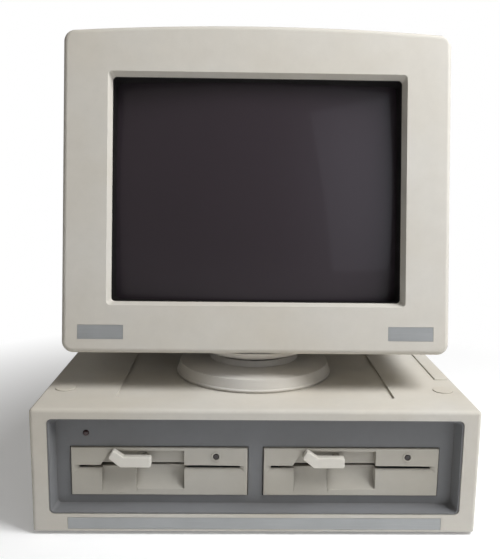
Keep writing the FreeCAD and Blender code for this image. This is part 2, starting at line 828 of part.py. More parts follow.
def d_socket_back(name, x, z, width):
    """A D shaped socket on the rear panel: flange, metal shell and body."""
    reach = width / 2
    shell = reach - d.shell_margin
    parts = [block(name + "_flange", (x - reach, panel_face, z - d.flange_height / 2),
                   (x + reach, panel_face + d.flange_plate, z + d.flange_height / 2)),
             rounded(name + "_shell",
                     block(name + "_shell_block", (x - shell, panel_face, z - d.shell_height / 2),
                           (x + shell, panel_face + d.flange_plate + d.shell_length, z + d.shell_height / 2)),
                     2.2, ALONG_Y),
             block(name + "_body", (x - shell, panel_face - d.panel_plate - d.socket_body_depth,
                                    z - d.shell_height / 2),
                   (x + shell, panel_face, z + d.shell_height / 2))]
    return join(name, *parts)


def make_rear_panel():
    reach = panel_width / 2 + d.panel_lap
    plate = block("panel_plate_block", (-reach, panel_face - d.panel_plate, panel_low - d.panel_lap + 3.0),
                  (reach, panel_face, panel_high + d.panel_lap))
    socket_z = panel_low + 24.0
    rows = [("printer", -75.0, d.wide_socket), ("serial", 0.0, d.wide_socket), ("video", 62.0, d.narrow_socket)]
    tools = []
    sockets = []
    for name, x, width in rows:
        shell = width / 2 - d.shell_margin + d.fit_gap / 2
        tools.append(block(name + "_way", (x - shell, panel_face - 3.0, socket_z - d.shell_height / 2 - 0.15),
                           (x + shell, panel_face + 1.0, socket_z + d.shell_height / 2 + 0.15)))
        sockets.append(d_socket_back(name + "_socket", x, socket_z, width))
    power_x = 112.0
    tools.append(rod("power_way", d.power_socket_radius - 1.0, 5.0, (power_x, panel_face - 3.0, socket_z), "y"))
    node("rear_panel", cut("rear_panel_finished", plate, *tools))
    flange = rod("power_flange", d.power_socket_radius + 3.0, 1.2, (power_x, panel_face, socket_z), "y")
    barrel = rod("power_barrel", d.power_socket_radius, d.power_socket_length, (power_x, panel_face, socket_z), "y")
    stem = rod("power_stem", d.power_socket_radius - 1.0 - d.fit_gap / 2, d.panel_plate + 8.0,
               (power_x, panel_face - d.panel_plate - 8.0, socket_z), "y")
    pins = []
    for index in range(12):
        angle = math.radians(30.0 * index)
        pins.append(rod("power_pin_hole_%d" % index, 0.9, 5.0,
                        (power_x + 7.0 * math.cos(angle), panel_face + d.power_socket_length - 4.0,
                         socket_z + 7.0 * math.sin(angle)), "y"))
    node("power_socket", cut("power_socket_body", join("power_socket_solid", flange, barrel, stem), *pins))
    side_z = floor + d.side_socket_height
    mouse_y = front + d.mouse_socket_front
    shell = d.narrow_socket / 2 - d.shell_margin
    wall = -inner_half + d.press_gap
    mouse = join("mouse_socket",
                 block("mouse_shell", (-half + 0.2, mouse_y - shell, side_z - d.shell_height / 2),
                       (wall, mouse_y + shell, side_z + d.shell_height / 2)),
                 block("mouse_flange", (wall, mouse_y - d.narrow_socket / 2, side_z - d.flange_height / 2),
                       (wall + 2.0, mouse_y + d.narrow_socket / 2, side_z + d.flange_height / 2)),
                 block("mouse_body", (wall, mouse_y - shell, side_z - d.shell_height / 2),
                       (wall + d.side_socket_depth, mouse_y + shell, side_z + d.shell_height / 2)))
    sockets.append(mouse)
    node("data_sockets", *sockets)
    round_y = front + d.round_socket_front
    barrel = rod("keyboard_barrel", d.round_socket_radius, d.case_wall + d.side_socket_depth,
                 (-half + 0.2, round_y, side_z), "x")
    flange = rod("keyboard_flange", d.round_socket_radius + 3.0, 2.0, (wall, round_y, side_z), "x")
    holes = []
    for index in range(6):
        angle = math.radians(36.0 * index)
        holes.append(rod("keyboard_pin_hole_%d" % index, 1.0, 4.0,
                         (-half - 1.0, round_y + 5.0 * math.cos(angle), side_z + 5.0 * math.sin(angle)), "x"))
    node("keyboard_socket", cut("keyboard_socket_body", join("keyboard_solid", barrel, flange), *holes))
    wheel_x = -half + 0.3 + d.wheel_radius
    wheel_y = front + d.wheel_front
    wheel_z = floor + d.wheel_height
    disc = rounded("wheel_disc_rounded",
                   rod("wheel_disc", d.wheel_radius, d.wheel_thickness,
                       (wheel_x, wheel_y, wheel_z - d.wheel_thickness / 2)), 0.6,
                   lambda edge: edge.Curve.TypeId == "Part::GeomCircle")
    shaft = rod("wheel_shaft", d.wheel_shaft_radius, d.wheel_thickness / 2 + 6.0, (wheel_x, wheel_y, wheel_z))
    grooves = []
    for index in range(24):
        angle = math.radians(15.0 * index)
        grooves.append(rod("wheel_groove_%d" % index, 0.5, d.wheel_thickness + 2.0,
                           (wheel_x + (d.wheel_radius + 0.1) * math.cos(angle),
                            wheel_y + (d.wheel_radius + 0.1) * math.sin(angle),
                            wheel_z - d.wheel_thickness / 2 - 1.0)))
    node("volume_wheel", cut("volume_wheel_body", join("wheel_solid", disc, shaft), *grooves))
    can_low = wheel_z + d.wheel_thickness / 2 + 1.5
    can = block("volume_can", (-inner_half + d.press_gap, wheel_y - 8.0, can_low),
                (wheel_x + 8.0, wheel_y + 8.0, can_low + 8.0))
    bore = rod("volume_bore", d.wheel_shaft_radius + d.bore_clearance, 20.0, (wheel_x, wheel_y, can_low - 1.0))
    node("volume_control", cut("volume_control_body", can, bore))


def make_battery_bay():
    bay_y = front + d.bay_front
    bay_low = recess_floor - d.bay_depth
    cells = []
    for index in range(int(number(d.cell_count))):
        x = (index - (number(d.cell_count) - 1) / 2) * d.cell_pitch
        y = bay_y + d.bay_margin
        z = bay_low + d.cell_radius + d.press_gap
        shell = rod("cell_body_%d" % index, d.cell_radius, d.cell_length - 1.6, (x, y, z), "y")
        tip = rod("cell_tip_%d" % index, 2.6, d.cell_length - 0.4, (x, y, z), "y")
        cells.append(join("cell_%d" % index, shell, tip))
    node("battery_cells", *cells)
    reach = d.cell_pitch * d.cell_count / 2 + d.bay_margin + d.case_wall / 2 - d.fit_gap
    low = bay_y - d.case_wall / 2 + d.fit_gap
    high = bay_y + d.cell_length + 2 * d.bay_margin + d.case_wall / 2 - d.fit_gap
    lid = block("lid_block", (-reach, low, recess_floor - d.battery_lid + d.press_gap), (reach, high, recess_floor))
    ribs = [block("lid_rib_%d" % index, (-9.0, low + 5.0 + 3.0 * index, recess_floor - 0.6),
                  (9.0, low + 6.5 + 3.0 * index, recess_floor + 1.0)) for index in range(4)]
    node("battery_cover", cut("battery_cover_body", lid, *ribs))


def make_main_board():
    low_y = front + d.board_front
    reach = board_width / 2
    plate = block("board_block", (-reach, low_y, board_low), (reach, low_y + d.board_length, board_high))
    node("main_board", plate)
    chips = []

    def chip(name, x, y, width, length):
        chips.append(block(name, (x, y, board_high), (x + width, y + length, board_high + d.chip_lift
                                                      + d.chip_height)))
    for row in range(2):
        for column in range(int(number(d.chip_columns))):
            chip("memory_%d_%d" % (row, column), -reach + 14.0 + column * d.chip_pitch,
                 low_y + 12.0 + row * 28.0, 7.0, 20.0)
    chip("processor", -reach + 24.0, low_y + 76.0, 14.0, 52.0)
    chip("start_memory_1", -reach + 56.0, low_y + 84.0, 14.0, 36.0)
    chip("start_memory_2", -reach + 80.0, low_y + 84.0, 14.0, 36.0)
    chip("video_array", -reach + 106.0, low_y + 80.0, 30.0, 30.0)
    node("board_chips", *chips)
    connectors = []
    for index in range(int(number(d.connector_count))):
        y = low_y + 60.0 + index * d.connector_pitch
        x = reach - 20.0 - d.connector_length
        shell = block("connector_block_%d" % index, (x, y, board_high), (x + d.connector_length, y + 9.0,
                                                                         board_high + d.connector_height))
        slot = block("connector_slot_%d" % index, (x + 3.0, y + 3.6, board_high + 4.0),
                     (x + d.connector_length - 3.0, y + 5.4, board_high + d.connector_height + 1.0))
        connectors.append(cut("connector_%d" % index, shell, slot))
    node("expansion_connectors", *connectors)
    y = front + d.speaker_back
    z = floor + d.speaker_height
    start = -inner_half + d.press_gap
    rim = rod("speaker_rim", d.speaker_radius, 3.0, (start, y, z), "x")
    basket = cone("speaker_basket", d.speaker_radius - 2.0, d.speaker_radius * 0.5, 8.0, (start + 3.0, y, z), "x")
    magnet = rod("speaker_magnet", d.speaker_radius * 0.5, d.speaker_depth - 11.0, (start + 11.0, y, z), "x")
    dish = cone("speaker_dish", d.speaker_radius - 4.0, d.speaker_radius * 0.3, 7.0, (start, y, z), "x")
    node("loudspeaker", cut("loudspeaker_body", join("speaker_solid", rim, basket, magnet), dish))


# Disk drives

drive_lamps = []
drive_boards = []


def make_drive_bezel(side, middle):
    name = side + "_drive_bezel"
    left = middle - drive_width / 2
    right = middle + drive_width / 2
    low = drive_z - d.drive_height / 2
    high = drive_z + d.drive_height / 2
    rear = drive_y + d.drive_bezel_depth
    plate = rounded(name + "_rounded", block(name + "_block", (left, drive_y, low), (right, rear, high)), 0.8,
                    lambda edge: edge.BoundBox.YMax < number(drive_y) + 0.01)
    wall = d.drive_bezel_wall
    tub_left = middle + d.grip_left - d.grip_slant - wall
    tub_right = middle + d.grip_right + wall
    slot_z = drive_z + d.slot_rise
    slot_half = slot_width / 2
    back_left = block(name + "_hollow_left", (left + wall, drive_y + wall, low + wall), (tub_left, rear + 1.0,
                                                                                       high - wall))
    back_right = block(name + "_hollow_right", (tub_right, drive_y + wall, low + wall), (right - wall, rear + 1.0,
                                                                                        high - wall))
    slot = block(name + "_slot", (middle - slot_half, drive_y - 1.0, slot_z - d.slot_height / 2),
                 (middle + slot_half, rear + 1.0, slot_z + d.slot_height / 2))
    lip = taper(name + "_lip", drive_y - 0.01, drive_y + wall - 0.4,
                (middle - slot_half - d.slot_flare, slot_z - d.slot_height / 2 - d.slot_chamfer),
                (middle + slot_half + d.slot_flare, slot_z + d.slot_height / 2),
                (middle - slot_half, slot_z - d.slot_height / 2), (middle + slot_half, slot_z + d.slot_height / 2))
    upper = padded(name + "_upper", [(middle + d.grip_left - 3.0, drive_z + d.slot_rise - d.slot_height / 2),
                                     (middle + d.grip_right, drive_z + d.slot_rise - d.slot_height / 2),
                                     (middle + d.grip_right, drive_z + d.grip_top),
                                     (middle + d.grip_left + d.grip_slant - 3.0, drive_z + d.grip_top)],
                   drive_y - 1.0, drive_y + d.grip_upper_depth)
    shallow = padded_side(name + "_shallow", [(drive_y - 1.0, drive_z + d.grip_bottom),
                                              (drive_y, drive_z + d.grip_bottom),
                                              (drive_y + d.grip_shallow, slot_z),
                                              (drive_y - 1.0, slot_z)],
                          middle + d.grip_left, middle + d.grip_step + 1.0)
    scoop_radius = 26.0
    deep_block = block(name + "_deep_block", (middle + d.grip_step, drive_y - 1.0, drive_z + d.grip_bottom),
                       (middle + d.grip_right, drive_y + d.grip_deep, slot_z))
    scoop = rod(name + "_scoop_rod", scoop_radius, d.grip_right - d.grip_step,
                (middle + d.grip_step, drive_y + d.grip_deep - scoop_radius, slot_z), "x")
    deep = overlap(name + "_deep", deep_block, scoop)
    ring_y = drive_y - 0.6
    lamp_x = middle + d.drive_lamp_side
    lamp_z = drive_z + d.drive_lamp_rise
    ring = rod(name + "_lamp_ring", d.drive_lamp_ring, wall + 1.6, (lamp_x, ring_y, lamp_z), "y")
    body = join(name + "_body", cut(name + "_shell", plate, back_left, back_right), ring)
    lamp_way = rod(name + "_lamp_way", d.drive_lamp_radius + d.press_gap, wall + 4.0,
                   (lamp_x, ring_y - 1.0, lamp_z), "y")
    shaft_way = rod(name + "_shaft_way", d.lever_shaft_radius + d.fit_gap, d.drive_bezel_depth + 2.0,
                    (middle + d.lever_side, drive_y - 1.0, drive_z + d.lever_rise), "y")
    node(name, cut(name + "_finished", body, slot, lip, upper, shallow, deep, lamp_way, shaft_way))
    lens = rounded(side + "_lamp_lens_rounded",
                   rod(side + "_lamp_lens", d.drive_lamp_radius, wall + 4.0, (lamp_x, drive_y - 0.2, lamp_z), "y"),
                   0.8, lambda edge: edge.Curve.TypeId == "Part::GeomCircle"
                   and edge.BoundBox.YMax < number(drive_y) + 0.1)
    skirt = rod(side + "_lamp_skirt", d.drive_lamp_ring, 1.0, (lamp_x, drive_y + wall + 1.0 + d.press_gap, lamp_z),
                "y")
    drive_lamps.append(join(side + "_drive_lamp", lens, skirt))


def make_lever(side, middle):
    name = side + "_drive_lever"
    x = middle + d.lever_side
    z = drive_z + d.lever_rise
    reach = d.lever_height / 2
    paddle_back = drive_y - d.lever_gap
    paddle_front = paddle_back - d.lever_thickness
    bend = x - d.lever_block
    points = [(x + d.lever_tail, z - reach), (x + d.lever_tail, z + reach), (bend + 2.0, z + reach),
              (bend + 2.0 - d.lever_tip_reach, z + reach + d.lever_tip_rise - 1.0),
              (bend - 0.5 - d.lever_tip_reach * 1.15, z - reach + d.lever_tip_rise * 1.1), (bend - 1.0, z - reach)]
    paddle = rounded(name + "_rounded", padded(name + "_paddle", points, paddle_front, paddle_back), 1.6, ALONG_Y)
    soft = rounded(name + "_soft", paddle, 0.9, lambda edge: edge.BoundBox.YMax < number(paddle_front) + 0.01)
    shaft = rod(name + "_shaft", d.lever_shaft_radius, d.lever_shaft_length + d.lever_gap,
                (x, paddle_back - 0.5, z), "y")
    cam = rod(name + "_cam", d.lever_shaft_radius + 2.0, 5.0, (x, drive_y + d.drive_bezel_depth + 1.0, z), "y")
    node(name, join(name + "_body", soft, shaft, cam))


def make_drive_mechanism(side, middle):
    name = side + "_drive_frame"
    near = drive_y + d.drive_bezel_depth + d.press_gap
    far = drive_y + d.drive_length
    reach = drive_width / 2 - d.frame_inset
    low = drive_z - d.frame_height / 2
    high = drive_z + d.frame_height / 2 - 1.0
    deck_top = drive_z - d.deck_drop
    deck_low = deck_top - d.deck_thickness
    spindle_y = drive_y + d.spindle_back
    disk_z = drive_z + d.slot_rise
    rails = [block(name + "_rail_left", (middle - reach, near, low), (middle - reach + d.rail_thickness, far, high)),
             block(name + "_rail_right", (middle + reach - d.rail_thickness, near, low), (middle + reach, far, high))]
    deck = block(name + "_deck", (middle - reach, near + 6.0, deck_low), (middle + reach, far, deck_top))
    wall_back = block(name + "_back", (middle - reach, far - d.rail_thickness, low), (middle + reach, far, deck_top))
    guide_z = deck_top + d.carriage_height / 2 + 1.0
    guide_near = spindle_y + d.rotor_radius * 0.62
    saddles = []
    guides = []
    for index, sign in enumerate((-1, 1)):
        gx = middle + sign * d.guide_spread
        guides.append(rod(name + "_guide_%d" % index, d.guide_radius, far - d.rail_thickness - guide_near,
                          (gx, guide_near, guide_z), "y"))
        saddles.append(block(name + "_saddle_near_%d" % index, (gx - 4.0, guide_near, deck_low),
                             (gx + 4.0, guide_near + 4.0, guide_z + 1.0)))
        saddles.append(block(name + "_saddle_far_%d" % index, (gx - 4.0, far - d.rail_thickness - 4.0, deck_low),
                             (gx + 4.0, far - d.rail_thickness + 0.5, guide_z + 1.0)))
    bridge_y = spindle_y - 12.0
    bridge = block(name + "_bridge", (middle - reach, bridge_y, high - 2.0), (middle + reach, bridge_y + 24.0, high))
    shaft_bearing = block(name + "_bearing", (middle + d.lever_side - 6.0, near + 8.0,
                                              drive_z + d.lever_rise - d.lever_shaft_radius - 3.0),
                          (middle + d.lever_side + 6.0, near + 11.0, high))
    bearing_bar = block(name + "_bearing_bar", (middle - reach, near + 8.0, high - 2.0),
                        (middle + reach, near + 11.0, high))
    body = join(name + "_body", deck, wall_back, bridge, shaft_bearing, bearing_bar, *(rails + saddles + guides))
    stem_way = rod(name + "_stem_way", d.clamp_stem_radius + d.bore_clearance, 12.0,
                   (middle, spindle_y, high - 8.0))
    lever_way = rod(name + "_lever_way", d.lever_shaft_radius + d.bore_clearance, 12.0,
                    (middle + d.lever_side, near + 4.0, drive_z + d.lever_rise), "y")
    rotor_low = deck_low - d.spindle_gap - d.rotor_height
    hollow = rod(name + "_spindle_hollow", d.hub_bore, deck_top - deck_low + 2.0, (middle, spindle_y, deck_low - 1.0))
    head_way = block(name + "_head_way", (middle - 8.0, guide_near - 1.0, deck_low - 1.0),
                     (middle + 8.0, far - d.rail_thickness - 28.0, deck_top + 1.0))
    node(name, cut(name + "_finished", body, stem_way, lever_way, hollow, head_way))

    hub_top = disk_z - d.disk_thickness / 2 + 1.2
    points = [(0.0, rotor_low - floor), (d.rotor_radius, rotor_low - floor),
              (d.rotor_radius, rotor_low + d.rotor_height - floor),
              (d.hub_radius, rotor_low + d.rotor_height - floor),
              (d.hub_radius, disk_z - d.disk_thickness / 2 - floor), (d.hub_radius - 4.0,
                                                                     disk_z - d.disk_thickness / 2 - floor),
              (d.hub_radius - 5.5, hub_top - floor), (0.0, hub_top - floor)]
    node(side + "_spindle", turned(side + "_spindle_body", points, (middle, spindle_y, floor)))

    nose_low = hub_top + d.clamp_lift + d.clamp_rest_gap
    stem_top = high + d.clamp_lift + 0.5
    points = [(0.0, nose_low - floor), (d.clamp_radius - 5.0, nose_low - floor),
              (d.clamp_radius, nose_low + 2.0 - floor), (d.clamp_radius, nose_low + 4.5 - floor),
              (d.clamp_stem_radius, nose_low + 5.5 - floor), (d.clamp_stem_radius, stem_top - floor),
              (0.0, stem_top - floor)]
    node(side + "_hub_clamp", turned(side + "_hub_clamp_body", points, (middle, spindle_y, floor)))

    head_y = spindle_y + d.track_radius
    carriage_low = guide_z - d.carriage_height / 2
    carriage_near = head_y + d.head_reach - d.carriage_length / 2
    block_body = block(side + "_carriage_block", (middle - d.guide_spread - 7.0, carriage_near, carriage_low),
                       (middle + d.guide_spread + 7.0, carriage_near + d.carriage_length,
                        carriage_low + d.carriage_height))
    arm_low = disk_z - d.disk_thickness / 2 - 1.0
    lower = block(side + "_lower_arm", (middle - 6.0, head_y - 5.0, arm_low - 3.0),
                  (middle + 6.0, carriage_near + 4.0, arm_low))
    upper = block(side + "_upper_arm", (middle - 6.0, head_y - 5.0, arm_low + d.disk_thickness + 2.0),
                  (middle + 6.0, carriage_near + d.carriage_length - 2.0, arm_low + d.disk_thickness + 4.5))
    bores = [rod(side + "_carriage_bore_%d" % index, d.guide_radius + d.bore_clearance, d.carriage_length + 4.0,
                 (middle + sign * d.guide_spread, carriage_near - 2.0, guide_z), "y")
             for index, sign in enumerate((-1, 1))]
    node(side + "_head_carriage", cut(side + "_carriage_body", join(side + "_carriage_solid", block_body, lower,
                                                                  upper), *bores))

    stepper_x = middle + d.guide_spread + 7.0 + d.pulley_width + 3.0
    stepper_y = far - d.rail_thickness - d.stepper_radius - 4.0
    stepper_z = deck_top + d.stepper_radius * 0.72 + 0.2
    can = overlap(side + "_stepper_can",
                  rod(side + "_stepper_can_rod", d.stepper_radius, d.stepper_length,
                      (stepper_x, stepper_y, stepper_z), "x"),
                  block(side + "_stepper_can_trim", (stepper_x - 1.0, stepper_y - 30.0, deck_top + d.press_gap),
                        (stepper_x + d.stepper_length + 1.0, stepper_y + 30.0, high - 0.6)))
    bore = rod(side + "_stepper_bore", 1.55, d.stepper_length + 2.0, (stepper_x - 1.0, stepper_y, stepper_z), "x")
    node(side + "_stepper", cut(side + "_stepper_body", can, bore))
    pulley = rod(side + "_pulley_rim", d.pulley_radius, d.pulley_width,
                 (stepper_x - d.pulley_width - 0.8, stepper_y, stepper_z), "x")
    axle = rod(side + "_pulley_axle", 1.5, d.stepper_length + d.pulley_width,
               (stepper_x - d.pulley_width, stepper_y, stepper_z), "x")
    groove = cut(side + "_pulley_band_groove",
                 rod(side + "_pulley_groove_outer", d.pulley_radius + 1.0, d.pulley_width - 3.0,
                     (stepper_x - d.pulley_width + 0.7, stepper_y, stepper_z), "x"),
                 rod(side + "_pulley_groove_inner", d.pulley_radius - 0.8, d.pulley_width,
                     (stepper_x - d.pulley_width - 0.8, stepper_y, stepper_z), "x"))
    node(side + "_stepper_pulley", join(side + "_pulley_body", cut(side + "_pulley_disc", pulley, groove), axle))

    board_y = far - 6.0
    card_low = low + 2.5
    card = block(side + "_card", (middle - reach + d.rail_thickness + 0.2, board_y - d.drive_board_length, card_low),
                 (middle + reach - d.rail_thickness - 0.2, board_y, card_low + d.board_plate))
    clear = rod(side + "_card_clear", d.rotor_radius + 3.0, 10.0, (middle, spindle_y, card_low - 3.0))
    parts = [cut(side + "_card_cut", card, clear)]
    for index in range(5):
        parts.append(block(side + "_card_chip_%d" % index,
                           (middle - 52.0 + 24.0 * index, board_y - 30.0, card_low + d.board_plate),
                           (middle - 45.0 + 24.0 * index, board_y - 10.0, card_low + d.board_plate + 3.5)))
    drive_boards.extend(parts)


# Monitor: modelled level, then leaned back about its ball to the way it rests

pivot_y = front + d.pivot_front
pivot_z = recess_floor + d.ball_lift + d.ball_radius
pivot_above_bottom = d.ball_radius - d.ball_show
face_y = pivot_y - d.pivot_behind_face
bottom_z = pivot_z - pivot_above_bottom
seam_y = face_y + d.bezel_depth
tube_middle = d.screen_bottom + d.screen_height / 2
chassis_length = d.cabinet_depth - d.chassis_front - d.chassis_back
neck_length = d.cabinet_depth - d.tube_front - d.tube_skirt - d.funnel_length - d.throat_length - d.neck_behind


def tilted(thing, extra=None):
    """Lean a finished node back: about the ball, after the face's own lean if extra is given."""
    angle = d.rest_tilt if extra is None else d.rest_tilt + extra
    bind_y, bind_z = pivot_y, pivot_z
    base_y = bind_y - (bind_y * cosine(d.rest_tilt) + bind_z * sine(d.rest_tilt))
    base_z = bind_z - (bind_z * cosine(d.rest_tilt) - bind_y * sine(d.rest_tilt))
    if extra is not None:
        shift_y = face_y - (face_y * cosine(extra) + bottom_z * sine(extra))
        shift_z = bottom_z - (bottom_z * cosine(extra) - face_y * sine(extra))
        base_y = base_y + shift_y * cosine(d.rest_tilt) + shift_z * sine(d.rest_tilt)
        base_z = base_z + shift_z * cosine(d.rest_tilt) - shift_y * sine(d.rest_tilt)
    thing.Placement = FreeCAD.Placement(FreeCAD.Vector(), FreeCAD.Rotation(FreeCAD.Vector(1, 0, 0),
                                                                         -angle.value))
    bind(thing, "Placement.Rotation.Angle", -angle)
    bind(thing, "Placement.Base.y", base_y)
    bind(thing, "Placement.Base.z", base_z)
    return thing


def leaning(thing):
    """Lean one piece back by the face's own lean, about the bottom edge of the face."""
    thing.Placement = FreeCAD.Placement(FreeCAD.Vector(), FreeCAD.Rotation(FreeCAD.Vector(1, 0, 0),
                                                                         -d.face_lean.value))
    bind(thing, "Placement.Rotation.Angle", -d.face_lean)
    bind(thing, "Placement.Base.y", face_y - (face_y * cosine(d.face_lean) + bottom_z * sine(d.face_lean)))
    bind(thing, "Placement.Base.z", bottom_z - (bottom_z * cosine(d.face_lean) - face_y * sine(d.face_lean)))
    return thing


def wrapped(name, *parts):
    group = doc.addObject("Part::Compound", name)
    group.Links = list(parts)
    return group


def face_block(name, low, high):
    """A block given as (x, depth behind the face, height up the face), leaning with the face."""
    inner = block(name + "_block", (low[0], face_y + low[1], bottom_z + low[2]),
                  (high[0], face_y + high[1], bottom_z + high[2]))
    return leaning(wrapped(name, inner))


def make_foot():
    gap = d.ball_gap
    seat = d.ball_radius + gap
    collar = d.base_collar_radius
    low = recess_floor
    seat_rise = d.ball_lift + d.ball_radius
    rim = d.base_rim
    points = [(d.bolt_radius + d.fit_gap, 0.0), (d.base_radius - 0.8, 0.0), (d.base_radius, 0.8),
              (d.base_radius, rim - 1.2), (d.base_radius - 2.5, rim), (collar + 3.0, d.base_shoulder),
              (collar + 1.0, seat_rise - root(seat * seat - collar * collar) - 1.2),
              (collar - 1.0, seat_rise - root(seat * seat - (collar - 1.0) * (collar - 1.0)) + 0.6),
              (d.bolt_radius + d.fit_gap, seat_rise - root(seat * seat - (collar - 1.0) * (collar - 1.0)) + 0.6)]
    body = turned("swivel_base_turned", points, (0.0, pivot_y, low))
    hollow = ball("swivel_base_seat", seat, (0.0, pivot_y, pivot_z))
    well = cut("swivel_base_well",
               rod("well_outer", d.seat_inner_radius, d.ball_lift, (0.0, pivot_y, low + d.bolt_head_height + 4.5)),
               rod("well_inner", d.bolt_radius + 4.0, d.ball_lift, (0.0, pivot_y, low)))
    head_room = rod("swivel_base_head_room", d.bolt_head_radius + 0.6, d.bolt_head_height + 0.6,
                    (0.0, pivot_y, low))
    key_room = rod("swivel_base_key_room", d.seat_inner_radius, 20.0,
                   (0.0, pivot_y, pivot_z - d.ball_radius - 3.4))
    node("swivel_base", cut("swivel_base_body", body, hollow, well, head_room, key_room))
    inner_ball = d.ball_radius - d.ball_shell - gap
    saucer_top = pivot_z - root(inner_ball * inner_ball - d.retainer_radius * d.retainer_radius) + \
        d.retainer_height * 0.4
    nut_low = saucer_top + 1.0 + d.press_gap
    head = rod("bolt_head", d.bolt_head_radius, d.bolt_head_height, (0.0, pivot_y, low + 0.5))
    shank = rod("bolt_shank", d.bolt_radius, nut_low + 6.0 - low, (0.0, pivot_y, low + 0.5))
    nut = doc.addObject("Part::Prism", "bolt_nut")
    nut.Polygon = 6
    bind(nut, "Circumradius", d.bolt_radius * 1.9)
    bind(nut, "Height", 5.0)
    place(nut, (0.0, pivot_y, nut_low))
    washer = rod("bolt_washer", d.bolt_radius * 2.4, 1.0, (0.0, pivot_y, nut_low - 1.0))
    node("pivot_bolt", join("pivot_bolt_body", head, shank, nut, washer))
    key_low = pivot_z - d.ball_radius - 3.2
    key = block("key_block", (-d.key_width / 2, pivot_y - d.key_length / 2, key_low),
                (d.key_width / 2, pivot_y + d.key_length / 2, pivot_z - inner_ball + 2.0))
    disc = overlap("key_disc", rod("key_disc_rod", d.retainer_radius, 20.0,
                                   (0.0, pivot_y, saucer_top - 20.0)),
                   ball("key_disc_ball", inner_ball, (0.0, pivot_y, pivot_z)))
    bore = rod("key_bore", d.bolt_radius + d.bore_clearance, 40.0, (0.0, pivot_y, key_low - 5.0))
    node("swivel_key", cut("swivel_key_body", join("swivel_key_solid", key, disc), bore))
    outer = ball("dome_outer", d.ball_radius, (0.0, pivot_y, pivot_z))
    inner = ball("dome_inner", d.ball_radius - d.ball_shell, (0.0, pivot_y, pivot_z))
    slab = block("dome_slab", (-90.0, pivot_y - 90.0, bottom_z - 40.0), (90.0, pivot_y + 90.0,
                                                                      bottom_z - d.press_gap))
    lid_ring = rod("dome_lid", root(d.ball_radius * d.ball_radius - pivot_above_bottom * pivot_above_bottom)
                   - 3.0, 3.0, (0.0, pivot_y, bottom_z - d.press_gap - 3.0))
    shell = join("dome_shell", cut("dome_cap", overlap("dome_solid", outer, slab), inner),
                 overlap("dome_lid_trimmed", lid_ring, ball("dome_trim", d.ball_radius - 0.5,
                                                             (0.0, pivot_y, pivot_z))))
    slot = block("dome_slot", (-d.key_width / 2 - gap, pivot_y - d.dome_slot_front, bottom_z - 60.0),
                 (d.key_width / 2 + gap, pivot_y + d.dome_slot_back, bottom_z + 20.0))
    opening = overlap("dome_lid_opening", rod("dome_lid_rod", d.cabinet_hole, 20.0,
                                              (0.0, pivot_y, bottom_z - 12.0)),
                      ball("dome_inner_again", d.ball_radius - d.ball_shell, (0.0, pivot_y, pivot_z)))
    tilted(node("ball_dome", cut("ball_dome_body", shell, slot, opening)))


